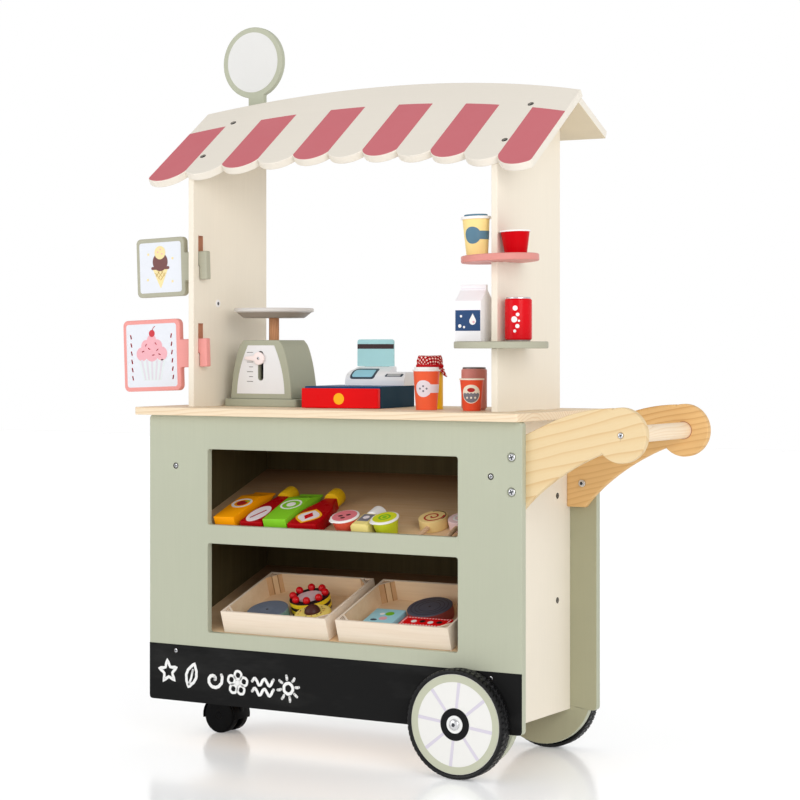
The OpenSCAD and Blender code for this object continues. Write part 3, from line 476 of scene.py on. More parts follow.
def rounded(pts, closed=True, n=5):
    """Corners given as (x, y, radius) are replaced by arcs; a fourth value is carried along."""
    out = []
    k = len(pts)
    for i, p in enumerate(pts):
        tag = p[3:] if len(p) > 3 else ()
        if p[2] <= 0 or (not closed and i in (0, k - 1)):
            out.append((p[0], p[1]) + tag)
            continue
        a, b, c = Vector(pts[i - 1][:2]), Vector(p[:2]), Vector(pts[(i + 1) % k][:2])
        u, w = (a - b), (c - b)
        ang = max(1e-3, u.angle(w))
        t = min(p[2] / math.tan(ang / 2), 0.49 * u.length, 0.49 * w.length)
        s, e = b + u.normalized() * t, b + w.normalized() * t
        prev = pts[i - 1][3:] if len(pts[i - 1]) > 3 else ()
        for j in range(n + 1):
            f = j / n
            q = (1 - f) ** 2 * s + 2 * f * (1 - f) * b + f * f * e
            out.append((q.x, q.y) + (prev if j < n / 2 and tag else tag))
    return out


def band(points, w, closed=False, cap=6):
    """A stroke of width w along a line of points, as (vertices, faces) in the plane."""
    n = len(points)
    pts = [Vector(p) for p in points]
    left, right = [], []
    for i, p in enumerate(pts):
        a = pts[i - 1] if (closed or i > 0) else p
        b = pts[(i + 1) % n] if (closed or i < n - 1) else p
        d = (b - a).normalized()
        m = Vector((-d.y, d.x)) * w / 2
        left.append(p + m)
        right.append(p - m)
    v = [tuple(q) for pair in zip(left, right) for q in pair]
    f = [(2 * i, 2 * i + 1, 2 * ((i + 1) % n) + 1, 2 * ((i + 1) % n)) for i in range(n if closed else n - 1)]
    if not closed:
        for end, sgn in ((0, -1), (n - 1, 1)):
            p = pts[end]
            d = ((pts[1] - pts[0]) if end == 0 else (pts[-1] - pts[-2])).normalized() * sgn
            m = Vector((-d.y, d.x))
            first, last = (2 * end, 2 * end + 1) if sgn > 0 else (2 * end + 1, 2 * end)
            ring = [first]
            for j in range(1, cap):
                t = math.pi * j / cap
                q = p + (m * math.cos(t) + d * math.sin(t)) * w / 2
                ring.append(len(v))
                v.append(tuple(q))
            ring.append(last)
            f.append(tuple(ring))
    return v, f


class Piece:
    """One visible piece, put together from several shapes."""

    def __init__(self, name):
        self.name = name
        self.v, self.f, self.m, self.mats = [], [], [], []

    def _mi(self, mat):
        if mat not in self.mats:
            self.mats.append(mat)
        return self.mats.index(mat)

    def add(self, verts, faces, mat, M=W):
        k = len(self.v)
        self.v += [M @ Vector(p) for p in verts]
        self.f += [tuple(k + i for i in f) for f in faces]
        self.m += [self._mi(x) for x in mat] if isinstance(mat, (list, tuple)) else [self._mi(mat)] * len(faces)
        return self

    def add_bm(self, bm, mat, M=W):
        bm.verts.index_update()
        self.add([v.co.copy() for v in bm.verts], [[v.index for v in f.verts] for f in bm.faces], mat, M)
        bm.free()
        return self

    def lathe(self, prof, mat, M=W, seg=64, ribs=0, rib=0.0):
        """Turned shape about local Z. prof holds (radius, height[, material])."""
        v, f, fm, rows = [], [], [], []
        for p in prof:
            if p[0] < 1e-6:
                rows.append([len(v)])
                v.append((0, 0, p[1]))
            else:
                row = []
                for i in range(seg):
                    a = 2 * math.pi * i / seg
                    row.append(len(v))
                    v.append((p[0] * math.cos(a), p[0] * math.sin(a), p[1]))
                rows.append(row)
        for j in range(len(rows) - 1):
            a, b = rows[j], rows[j + 1]
            mm = prof[j][2] if len(prof[j]) > 2 else mat
            for i in range(seg):
                q = (i + 1) % seg
                if len(a) == 1 and len(b) == 1:
                    continue
                if len(a) == 1:
                    f.append((a[0], b[q], b[i]))
                elif len(b) == 1:
                    f.append((a[i], a[q], b[0]))
                else:
                    f.append((a[i], a[q], b[q], b[i]))
                fm.append(mm)
        return self.add(v, f, fm, M)

    def prism(self, outline, z0, z1, mat, M=W, bevel=0.0, seg=2, both=True):
        """Outline in XY pulled along Z, with its rims rounded."""
        bm = bmesh.new()
        a = [bm.verts.new((x, y, z0)) for x, y in outline]
        b = [bm.verts.new((x, y, z1)) for x, y in outline]
        n = len(a)
        bm.faces.new(a[::-1])
        bm.faces.new(b)
        for i in range(n):
            bm.faces.new((a[i], a[(i + 1) % n], b[(i + 1) % n], b[i]))
        bmesh.ops.recalc_face_normals(bm, faces=bm.faces[:])
        if bevel:
            edges = [e for e in bm.edges if abs(e.verts[0].co.z - e.verts[1].co.z) < 1e-6
                     and (both or e.verts[0].co.z > z0 + 1e-6)]
            bmesh.ops.bevel(bm, geom=edges, offset=bevel, segments=seg, profile=0.5, affect="EDGES", clamp_overlap=True)
        return self.add_bm(bm, mat, M)

    def box(self, x0, y0, z0, x1, y1, z1, mat, M=W, bevel=0.4, seg=2):
        bm = bmesh.new()
        bmesh.ops.create_cube(bm, size=1)
        for v in bm.verts:
            v.co = Vector(((x0 + x1) / 2 + v.co.x * (x1 - x0), (y0 + y1) / 2 + v.co.y * (y1 - y0),
                           (z0 + z1) / 2 + v.co.z * (z1 - z0)))
        if bevel:
            bmesh.ops.bevel(bm, geom=bm.edges[:], offset=bevel, segments=seg, profile=0.5, affect="EDGES", clamp_overlap=True)
        return self.add_bm(bm, mat, M)

    def ball(self, c, r, mat, M=W, u=20, v=12):
        bm = bmesh.new()
        bmesh.ops.create_uvsphere(bm, u_segments=u, v_segments=v, radius=r)
        for q in bm.verts:
            q.co += Vector(c)
        return self.add_bm(bm, mat, M)

    def slab(self, flat, fn, d0, d1, mat, M=W):
        """A thin closed layer over a flat mesh (vertices, faces), placed by fn(u, v, depth)."""
        v2, f2 = flat
        n = len(v2)
        v = [fn(p[0], p[1], d1) for p in v2] + [fn(p[0], p[1], d0) for p in v2]
        f = [tuple(x) for x in f2] + [tuple(n + i for i in reversed(x)) for x in f2]
        seen = {}
        for x in f2:
            for i in range(len(x)):
                e = (x[i], x[(i + 1) % len(x)])
                seen[e] = seen.get(e, 0) + 1
        for (a, b) in seen:
            if (b, a) not in seen:
                f.append((b, a, n + a, n + b))
        return self.add(v, f, mat, M)

    def done(self, body, slot=None, replaces=(), smooth=38):
        me = bpy.data.meshes.new(self.name)
        me.from_pydata(self.v, [], self.f)
        for m in self.mats:
            me.materials.append(m)
        me.polygons.foreach_set("material_index", self.m)
        bm = bmesh.new()
        bm.from_mesh(me)
        bmesh.ops.recalc_face_normals(bm, faces=bm.faces[:])
        bm.to_mesh(me)
        bm.free()
        me.polygons.foreach_set("use_smooth", [True] * len(me.polygons))
        me.set_sharp_from_angle(angle=math.radians(smooth))
        me.update()
        o = bpy.data.objects.new(self.name, me)
        bpy.context.scene.collection.objects.link(o)
        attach(o, body)
        if replaces:
            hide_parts(*replaces)
        return o


def fill(outline, holes=(), cut=None):
    """Flat mesh (vertices, faces) of an outline with holes; cut splits it along u for wrapping."""
    bm = bmesh.new()
    if holes or cut:
        edges = []
        for loop in [outline, *holes]:
            vs = [bm.verts.new((p[0], p[1], 0)) for p in loop]
            edges += [bm.edges.new((vs[i], vs[(i + 1) % len(vs)])) for i in range(len(vs))]
        bmesh.ops.triangle_fill(bm, use_beauty=True, use_dissolve=False, edges=edges, normal=(0, 0, 1))
    else:
        bm.faces.new([bm.verts.new((p[0], p[1], 0)) for p in outline])
    if cut:
        us = [p[0] for p in outline]
        k = math.floor(min(us) / cut) + 1
        while k * cut < max(us):
            bmesh.ops.bisect_plane(bm, geom=bm.verts[:] + bm.edges[:] + bm.faces[:], dist=1e-5,
                                   plane_co=(k * cut, 0, 0), plane_no=(1, 0, 0))
            k += 1
    for f in bm.faces:
        if f.normal.z < 0:
            f.normal_flip()
    bm.normal_update()
    for f in bm.faces:
        if f.normal.z < 0:
            f.normal_flip()
    bm.verts.index_update()
    out = [(v.co.x, v.co.y) for v in bm.verts], [[v.index for v in f.verts] for f in bm.faces]
    bm.free()
    return out


def on_front(y):
    """Layer on a face that looks to the front, at depth y."""
    return lambda u, v, d: (u, y - d, v)


def on_back(y):
    return lambda u, v, d: (u, y + d, v)


def on_top(z):
    return lambda u, v, d: (u, v, z + d)


def round_wall(cx, cy, z0, r0, r1, h, phi):
    """Layer round a tapered cup: u along the wall from direction phi, v up the wall."""
    rm = (r0 + r1) / 2
    def fn(u, v, d):
        r = r0 + (r1 - r0) * v / h + d
        a = math.radians(phi) + u / rm
        return (cx + r * math.cos(a), cy + r * math.sin(a), z0 + v)
    return fn


# ---------------------------------------------------------------- the boards
def finish_node(name, mat, bevel=1.0, seg=3, angle=35):
    o = NODES[name]
    o.data.materials.clear()
    for m in (mat if isinstance(mat, (list, tuple)) else [mat]):
        o.data.materials.append(m)
    w = o.modifiers.new("weld", "WELD")
    w.merge_threshold = 0.00001
    if bevel:
        d = o.modifiers.new("flat", "DECIMATE")
        d.decimate_type = "DISSOLVE"
        d.angle_limit = math.radians(0.4)
        d.delimit = {"MATERIAL"}
        b = o.modifiers.new("edge", "BEVEL")
        b.width = bevel / 1000
        b.segments = seg
        b.limit_method = "ANGLE"
        b.angle_limit = math.radians(angle)
        b.use_clamp_overlap = False
        b.miter_outer = "MITER_ARC"
        b.harden_normals = False
    o.data.polygons.foreach_set("use_smooth", [True] * len(o.data.polygons))
    n = o.modifiers.new("shade", "WEIGHTED_NORMAL")
    n.keep_sharp = True
    n.weight = 60
    o.data.set_sharp_from_angle(angle=math.radians(38))
    return o


def face_centres(o):
    """Face centres in working millimetres, with normals."""
    back = W.inverted()
    for p in o.data.polygons:
        yield p, back @ p.center, p.normal


finish_node("front_panel", SAGE, 1.3)
# the rear panel's inner face takes the darker sage copy, as painted shade
o = finish_node("rear_panel", [SAGE, SAGE_REAR_SHADE], 1.3)
for p, c, n in face_centres(o):
    p.material_index = 1 if n.y < -0.9 else 0
# the side panels' inner faces take the dark board colour, as painted shade of the closed interior
for name, sgn in (("left_side_panel", 1), ("right_side_panel", -1)):
    o = finish_node(name, [CREAM, INNER_SHADE], 0.8)
    for p, c, n in face_centres(o):
        p.material_index = 1 if n.x * sgn > 0.9 else 0
finish_node("counter_top", COUNTER, 1.0)
finish_node("bottom_board", SHELF, 0.6)
finish_node("upper_display_shelf", SHELF, 0.6)
finish_node("lower_display_shelf", SHELF, 0.6)
finish_node("right_post", CREAM, 1.0)
o = finish_node("left_post", [CREAM, BROWN_CORE], 0.8)
for p, c, n in face_centres(o):
    if 38.9 < c.y < 51.1 and 55 < c.x < 64.5 and (671 <= c.z <= 717.6 or 535.4 <= c.z <= 581.6) and abs(n.x) < 0.5:
        p.material_index = 1
finish_node("front_awning", CREAM_X, 1.2)
o = finish_node("rear_awning", [CREAM_X, RAW_UNDER], 1.0)
for p, c, n in face_centres(o):
    p.material_index = 1 if n.z < -0.5 else 0
finish_node("round_sign", SAGE, 1.6)
finish_node("upper_cup_shelf", PINK_SHELF, 1.8, 4)
finish_node("lower_cup_shelf", SAGE_X, 1.8, 4)
finish_node("front_handle_arm", ARM, 1.8, 4)
finish_node("rear_handle_arm", ARM_REAR, 1.8, 4)
finish_node("handle_bar", BAR, 0)
# painted shade: a thin brown ring round the bar's end stands in for the shaded clearance gap of its socket
gap = Piece("bar_socket_shade_ring")
gap.slab(fill(circle(795, 423.5, 13.1, 56), [circle(795, 423.5, 12.05, 56)]), on_front(231), -0.05, 0.25, BROWN_CORE)
gap.slab(fill(circle(795, 423.5, 13.1, 56), [circle(795, 423.5, 12.05, 56)]), on_back(24), -0.05, 0.25, BROWN_CORE)
gap.done("stall", "pine")
finish_node("upper_menu_sign", SAGE_X, 1.8, 4)
finish_node("lower_menu_sign", PINK, 1.8, 4)
finish_node("front_wheel_disc", WHEEL_WHITE, 0.6)
finish_node("rear_wheel_disc", WHEEL_WHITE, 0.6)
finish_node("castor_plate", ZINC, 0.3)
finish_node("castor_axle", ZINC, 0)
finish_node("scale_base", SAGE_S, 1.4, 4)
finish_node("scale_body", SAGE_S, 1.4, 4)
finish_node("scale_post", POST_WOOD, 0.4)
o = finish_node("scale_spring", ZINC, 0)
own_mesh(o)
finish_node("register_base", NAVY, 0.8)
finish_node("register_drawer", RED, 1.0)
finish_node("payment_card", CARD, 0.5)
for name, x0, w in (("left_crate", 133.0, 189.2), ("right_crate", 339.0, 191.0)):
    o = finish_node(name, [BIRCH, BIRCH_IN], 0.5)
    for p, c, n in face_centres(o):
        q = (W.inverted() @ LOWER).inverted() @ Vector(c)
        p.material_index = 1 if x0 + 3.9 < q.x < x0 + w - 3.9 and 4.4 < q.y < 143.7 and 1 < q.z < 34.3 else 0

# painted shade: a dark board layer over the rear panel's inner face, standing in for the shade inside the cabinet
inside = Piece("rear_panel_inside_shade")
inside.slab(fill(rrect(56.06, 12.06, 593.94, 439.9, 0.3)), on_front(243), -0.05, 0.2, INNER_SHADE)
inside.done("stall", "plywood")

# ---------------------------------------------------------------- awning stripes
BANDS, X0, BW = 11, -10.0, 670.0 / 11


def sag(x):
    return 1085 - math.sqrt(1085 ** 2 - (x - 325) ** 2)


def cusp(i):
    x = X0 + BW * i
    return Vector((x, -8 - sag(x)))


stripes = Piece("awning_stripes")
for i in range(0, BANDS, 2):
    p, q = cusp(i), cusp(i + 1)
    half = (q - p).length / 2
    r = (half ** 2 + 17 ** 2) / 34
    n = Vector((-(q - p).y, (q - p).x)).normalized()
    c = (p + q) / 2 + n * (r - 17)
    xa, xb = max(p.x, -9.2), min(q.x, 659.2)
    rr = r - 0.7
    low = []
    for k in range(25):
        x = xa + (xb - xa) * (1 - math.cos(math.pi * k / 24)) / 2
        low.append((x, c.y - math.sqrt(max(0.0, rr ** 2 - (x - c.x) ** 2))))
    if i in (0, BANDS - 1):
        # the eased outer corners of the end scallops
        fx, fy = (X0 + 14.2 if i == 0 else 660 - 14.2), cusp(0).y + 5.2
        low = [(x, max(y, fy - math.sqrt(max(0.0, 13.4 ** 2 - (x - fx) ** 2))) if (x < fx if i == 0 else x > fx) else y) for x, y in low]
    top = [(xb + (xa - xb) * k / 8, 189 - sag(xb + (xa - xb) * k / 8) - 63) for k in range(9)]
    stripes.slab(fill(low + top), on_top(0), -0.05, 0.22, ROSE, AWNING)
stripes.done("stall", "red_paint")

# ---------------------------------------------------------------- chalk strip and its marks
strip = Piece("chalkboard_strip")
strip.slab(fill(rounded([(0.3, 0.1, 6), (649.7, 0.1, 6), (649.7, 86.6, 0), (0.3, 86.6, 0)]),
                [circle(50, 77, 4.3, 24), circle(600, 77, 4.3, 24), circle(556.5, 12, 4.2, 24)]),
           on_front(0), -0.05, 0.3, CHALK)
strip.done("stall", "castor_black")

marks = Piece("chalk_marks")


def chalk(points, w=5.4, closed=False):
    wob = [(x + 0.35 * math.sin(1.7 * i), y + 0.35 * math.cos(2.3 * i)) for i, (x, y) in enumerate(points)]
    marks.slab(band(wob, w, closed), on_front(0), 0.25, 0.55, CHALK_MARK)


def turned(points, cx, cy, k=1.0, a=0.0):
    t = math.radians(a)
    return [(cx + k * (x * math.cos(t) - y * math.sin(t)), cy + k * (x * math.sin(t) + y * math.cos(t))) for x, y in points]


def dense(points, n, closed=True):
    out = []
    k = len(points)
    for i in range(k if closed else k - 1):
        a, b = points[i], points[(i + 1) % k]
        out += [(a[0] + (b[0] - a[0]) * j / n, a[1] + (b[1] - a[1]) * j / n) for j in range(n)]
    return out if closed else out + [points[-1]]


# star, leaf, spiral, flower, waves and sun in a row
star = [((17 if i % 2 == 0 else 7.5) * math.sin(math.pi * i / 5), (17 if i % 2 == 0 else 7.5) * math.cos(math.pi * i / 5)) for i in range(10)]
chalk(turned(dense(star, 3), 36, 44, 1.05, 6), 4.6, True)
leaf = [(15 * math.sin(math.pi * t / 16) * (1 if s > 0 else -1) * 0.62, -19 + 38 * t / 16) for s in (1, -1)
        for t in (range(0, 16) if s > 0 else range(16, 0, -1))]
chalk(turned(leaf, 80, 41, 1.0, -18), 4.6, True)
chalk(turned([(0, -15), (0.5, -4), (0, 9)], 80, 41, 1.0, -18), 3.6)
chalk([(122 + (2.5 + 0.036 * a) * math.cos(math.radians(a)), 38 + (2.5 + 0.034 * a) * math.sin(math.radians(a))) for a in range(0, 331 + 60, 10)], 5.0)
for k in range(5):
    a = math.radians(72 * k + 14)
    chalk(circle(166 + 12 * math.cos(a), 36 + 12 * math.sin(a), 6.2, 18), 4.0, True)
marks.slab(fill(circle(166, 36, 4.4, 20)), on_front(0), 0.25, 0.55, CHALK_MARK)
for k in range(2):
    chalk([(193 + 1.75 * t, 26 + 15 * k + 5 * math.sin(t * 0.62)) for t in range(0, 23)], 4.6)
chalk(circle(258, 35, 8, 24), 4.8, True)
for k in range(8):
    a = math.radians(45 * k + 10)
    chalk([(258 + s * math.cos(a), 35 + s * math.sin(a)) for s in (13.5, 16, 19)], 4.2)
marks.done("stall", "white_paint")

# ---------------------------------------------------------------- round sign
face = Piece("round_sign_face")
face.slab(fill(circle(53.4, 1006.4, 48.6, 96)), on_front(204), -0.05, 0.3, SIGN_FACE)
face.slab(fill(circle(53, 1006, 48.6, 96)), on_back(214), -0.05, 0.3, SIGN_FACE)
face.done("stall", "white_paint")

# ---------------------------------------------------------------- menu signs
def sign_frame(z):
    return W @ T(59.7, 0, z + 0.4) @ R(-2, "Y") @ T(-59.7, 0, 0)


S1, S2 = sign_frame(671), sign_frame(535.5)
F = on_front(39.5)
up = Piece("upper_menu_face")
up.slab(fill(rrect(-49.1, -38.8, 31.4, 40.3, 4)), F, -0.05, 0.25, FACE, S1)
up.slab(fill(rounded([(-9, -33, 1.5), (6.5, 0, 1.5), (-24.5, 0, 1.5)])), F, 0.2, 0.4, CONE, S1)
for k in (-0.5, 0, 0.5):
    up.slab(band([(-9 + 9 * k - 4.0, -8 - 6 * k - 8), (-9 + 9 * k + 5.0, -8 - 6 * k + 3)], 0.9), F, 0.35, 0.46, CONE_LINE, S1)
    up.slab(band([(-9 + 9 * k + 4.0, -8 + 6 * k - 8), (-9 + 9 * k - 5.0, -8 + 6 * k + 3)], 0.9), F, 0.35, 0.48, CONE_LINE, S1)
up.slab(fill(circle(-9, 9.5, 14.5, 40)), F, 0.2, 0.5, SCOOP_BROWN, S1)
up.slab(fill(circle(-9, 24, 10.5, 40)), F, 0.2, 0.56, CONE, S1)
up.slab(fill(rrect(-26.5, -2.5, 8.5, 2.2, 2.2)), F, 0.2, 0.6, SCOOP_BROWN, S1)
for dx, dz in ((-4, 25), (1, 29), (4, 22)):
    up.slab(fill(circle(-9 + dx, dz, 1.3, 16)), F, 0.5, 0.66, PRINT_ROSE, S1)
for dx, dz in ((-32, 22), (15, 14), (-34, -18), (14, -22)):
    up.slab(fill(circle(dx, dz, 2.0, 18)), F, 0.2, 0.38, CONE, S1)
up.done("upper_menu", "white_paint")

dn = Piece("lower_menu_face")
dn.slab(fill(rrect(-74.9, -51.1, 22.7, 48.3, 4.5)), F, -0.05, 0.25, FACE, S2)
S2 = S2 @ T(-2.5, 0, -2.9)
dn.slab(fill(rounded([(-40, -38, 2), (-6, -38, 2), (4, -4, 1.5), (-50, -4, 1.5)])), F, 0.2, 0.36, PRINT_MINT, S2)
for k in range(-2, 3):
    dn.slab(fill([(-23 + 6.6 * k - 1.6, -37), (-23 + 6.6 * k + 1.6, -37), (-23 + 10 * k + 2.2, -5), (-23 + 10 * k - 2.2, -5)]), F, 0.3, 0.42, PRINT_LILAC, S2)
for k, (cx, cz, r) in enumerate(((-42, 4, 11), (-4, 4, 11), (-23, 6, 14), (-33, 16, 10.5), (-13, 16, 10.5), (-23, 25, 9))):
    dn.slab(fill(circle(cx, cz, r, 36)), F, 0.2, 0.40 + 0.02 * k, PRINT_ROSE, S2)
dn.slab(fill(circle(-22, 36, 5.6, 28)), F, 0.3, 0.56, PRINT_RED, S2)
dn.slab(band([(-21, 41), (-19, 45), (-16, 47)], 1.1), F, 0.3, 0.5, PRINT_RED, S2)
for cx, cz, a in ((-40, 8, 20), (-28, 12, -30), (-12, 10, 40), (-20, 2, 10), (-8, 3, -20), (-34, 18, 60), (-15, 20, -50)):
    t = math.radians(a)
    dn.slab(band([(cx - 1.8 * math.cos(t), cz - 1.8 * math.sin(t)), (cx + 1.8 * math.cos(t), cz + 1.8 * math.sin(t))], 1.5), F, 0.45, 0.58, PRINT_RED, S2)
for k in range(6):
    x, z = -64 + 0.4 * k, 34 - 13 * k
    dn.slab(band([(x, z), (x + 1.2, z - 5)], 2.4), F, 0.2, 0.36, PRINT_RED, S2)
    dn.slab(band([(x + 80, z), (x + 78.8, z - 5)], 2.4), F, 0.2, 0.36, PRINT_RED, S2)
dn.done("lower_menu", "white_paint")

# ---------------------------------------------------------------- wheels
def wheel(tag, body, flip):
    def face_fn(y):
        return (lambda u, v, d: (556.5 + u, y + d, 12 + v)) if flip else (lambda u, v, d: (556.5 + u, y - d, 12 + v))
    fn = face_fn(281 if flip else -26)
    art = Piece(tag + "_wheel_face")
    n = 96
    def ring(r0, r1, mat, d):
        v = [(r * math.cos(2 * math.pi * i / n), r * math.sin(2 * math.pi * i / n)) for r in (r0, r1) for i in range(n)]
        f = [(i, (i + 1) % n, n + (i + 1) % n, n + i) for i in range(n)]
        f = [tuple(reversed(x)) for x in f]
        art.slab((v, f), fn, -0.05, d, mat)
    ring(60, 70.4, WHEEL_SAGE, 0.3)
    ring(12.8, 23, HUB_BLACK, 0.35)
    for k in range(8):
        a = math.radians(83.4 + 45 * k)
        d, s = Vector((math.cos(a), math.sin(a))), Vector((-math.sin(a), math.cos(a)))
        pts = [d * 23.4 + s * 2.1, d * 23.4 - s * 2.1, d * 60.2 - s * 2.5, d * 60.2 + s * 2.5]
        art.slab(fill([tuple(p) for p in pts]), fn, -0.05, 0.22, SPOKE)
    art.done(body, "wheel_paint")

    # tyre with a cut tread
    tyre = Piece(tag + "_tyre_tread")
    M = W @ T(556.5, 271 if flip else -16, 12) @ R(90, "X")
    prof = [(70.9, -10.0), (72.5, -11.2), (74.2, -11.8), (75.6, -11.6)]
    prof += [(75.6 + 2.4 * math.sin(math.pi / 2 * k / 3), -11.6 + 3.2 * (1 - math.cos(math.pi / 2 * k / 3))) for k in (1, 2)]
    inner = [(78.0, s) for s in [-8.2 + 16.4 * k / 26 for k in range(27)]]
    prof = prof + inner + [(r, -z) for r, z in reversed(prof)]
    N = 420
    v, f = [], []
    for i in range(N):
        a = 2 * math.pi * i / N
        for r, z in prof:
            cut = 0.0
            if r > 75.7:
                ph = i * 60 / N
                side = 0.5 if z > 0 else 0.0
                lug = abs((ph + side + 0.045 * abs(z)) % 1.0 - 0.5)
                zig = abs(z - 1.6 * (2 * abs((ph * 1.0) % 1.0 - 0.5) * 2 - 1))
                cut = max(1.6 if lug > 0.38 and abs(z) > 2.6 else 0.0, 1.6 if zig < 0.9 else 0.0)
            v.append(((r - cut) * math.cos(a), (r - cut) * math.sin(a), z))
    K = len(prof)
    for i in range(N):
        for j in range(K):
            f.append((i * K + j, i * K + (j + 1) % K, ((i + 1) % N) * K + (j + 1) % K, ((i + 1) % N) * K + j))
    tyre.add(v, f, TYRE, M)
    tyre.done(body, "tyre", [tag + "_wheel_tyre"], smooth=30)

    # bush with a dished face, domed bolt head; its hex socket is a dark raised shape, painted shade of the recess
    hub = Piece(tag + "_wheel_hub")
    H = W @ (T(556.5, 281, 12) @ R(-90, "X") if flip else T(556.5, -26, 12) @ R(90, "X"))
    hub.lathe(rounded([(4.2, -19, 0), (10, -19, 0), (10, 0, 0), (12.6, 0, 0.5), (12.6, 1.6, 0.6), (9.6, 1.2, 0.5), (4.2, 1.0, 0)], False), NYLON, H, 48)
    hub.done(body, "nylon", [tag + "_wheel_bush"])
    bolt = Piece(tag + "_axle_head")
    bolt.lathe([(0, 1.4), (3.0, 1.4), (8.0, 1.6)] + [(8 * math.cos(math.radians(t)), 2.0 + 3.0 * math.sin(math.radians(t))) for t in range(0, 76, 15)] + [(1.6, 4.9), (0, 4.9)], CHROME, H, 40)
    bolt.prism([(3.1 * math.cos(math.radians(60 * k)), 3.1 * math.sin(math.radians(60 * k))) for k in range(6)], 4.55, 4.97, DARK_STEEL_AND_SHADE, H, 0.1, 1)
    bolt.lathe([(0, -22.4), (9, -22.4), (9, -26), (0, -26)], ZINC, H, 32)
    bolt.prism([(7.5 * math.cos(math.radians(60 * k)), 7.5 * math.sin(math.radians(60 * k))) for k in range(6)], -44.4, -38.1, ZINC, H, 0.8, 2)
    bolt.lathe([(0, -47), (3.2, -47), (4, -46.2), (4, -44), (0, -44)], ZINC, H, 24)
    return bolt.done("stall", "steel", ["axle_bolts"])


wheel("front", "front_wheel", False)
wheel("rear", "rear_wheel", True)

# ---------------------------------------------------------------- castor
hood = Piece("castor_shell")
CM = W @ T(55.8, 127.5, -38.5) @ R(90, "X")
shell = []
for k in range(29):
    a = math.radians(-9.3 + 198.6 * k / 28)
    shell.append((30.8 * math.cos(a), 30.8 * math.sin(a)))
for k in range(29):
    a = math.radians(189.3 - 198.6 * k / 28)
    shell.append((28.6 * math.cos(a), 28.6 * math.sin(a)))
hood.prism(shell, -21.5, 21.5, CASTOR, CM, 0.9, 3)
web = [(22 * math.cos(math.radians(a)), 22 * math.sin(math.radians(a))) for a in range(100, 361, 10)] + [(22, 6), (30.2, 6), (30.2, 32.4), (0, 32.4)]
hood.prism(web, -5, 5, CASTOR, CM, 0.6, 2)
hood.lathe(rounded([(3.6, -9, 0), (12, -9, 1), (12, -5.4, 1), (3.6, -5.4, 0)], True), CASTOR, W @ T(80, 127.5, 0), 40)
hood.done("castor_fork", "castor_black", ["castor_hood"])
for tag, body, y, s in (("front", "castor_front_roller", 121.5, 1), ("rear", "castor_rear_roller", 133.5, -1)):
    w = Piece("castor_%s_roller_face" % tag)
    M = W @ T(55.8, y, -38.5) @ R(90 * s, "X")
    w.lathe(rounded([(4.1, 0, 0), (25.6, 0, 1), (27.5, 1.9, 1.2), (27.5, 14.4, 2.6), (24.5, 15.4, 3), (6, 15.4, 0.4), (5.6, 15.0, 0.3),
                     (4.8, 15.0, 0.3), (4.4, 15.5, 0.4), (0, 15.5, 0)], False), CASTOR, M, 80)
    w.lathe([(4.1, 0), (0, 0.1)], CASTOR, M, 72)
    w.done(body, "castor_black", ["castor_%s_wheel" % tag])

# ---------------------------------------------------------------- screws and bolts
def head(p, M, r, dome, sink, mat=CHROME):
    """Round head with its cross drawn as a dark raised shape, painted shade of the recess; local Z points out of the
    board, face at z = -sink.
    """
    prof = [(0, -sink - 2.0), (r, -sink - 2.0), (r, -sink)]
    prof += [(r * math.cos(math.radians(t)), -sink + dome * math.sin(math.radians(t))) for t in (20, 40, 60, 75)]
    prof += [(0, -sink + dome)]
    p.lathe(prof, mat, M, 28)
    a, b = 0.62 * r, 0.17 * r
    cross = [(a, -b), (a, b), (b, b), (b, a), (-b, a), (-b, b), (-a, b), (-a, -b), (-b, -b), (-b, -a), (b, -a), (b, -b)]
    p.prism(cross, -sink + dome * 0.55, -sink + dome * 1.01 + 0.03, DARK_STEEL_AND_SHADE, M @ R(17, "Z"))


def recess(p, M, d=0.1):
    """Painted shade: a dark ring standing in for the shadow inside a countersunk hole."""
    p.slab(fill(circle(0, 0, 4.5, 30), [circle(0, 0, 3.2, 30)]), on_top(0), -0.05, d, RECESS_SHADE, M)


screws = Piece("screw_heads")
for x in (50, 600):
    for z in (77, 362):
        for M in (W @ T(x, 0, z) @ R(90, "X"), W @ T(x, 255, z) @ R(-90, "X")):
            head(screws, M, 3.6, 0.8, 0.75)
            recess(screws, M)
# side panel screws: dark steel heads sunk in their holes, their darkness partly painted shade of the holes
for y, z in ((50, 260 + 0.370 * 38 - 6.4), (200, 260 + 0.370 * 188 - 6.4), (50, 109 + 0.344 * 38 - 6.3), (200, 109 + 0.344 * 188 - 6.3), (60, 6)):
    for M in (W @ T(606, y, z) @ R(90, "Y"), W @ T(44, y, z) @ R(-90, "Y")):
        head(screws, M, 3.6, 0.6, 1.6, DARK_STEEL_AND_SHADE)
        recess(screws, M)
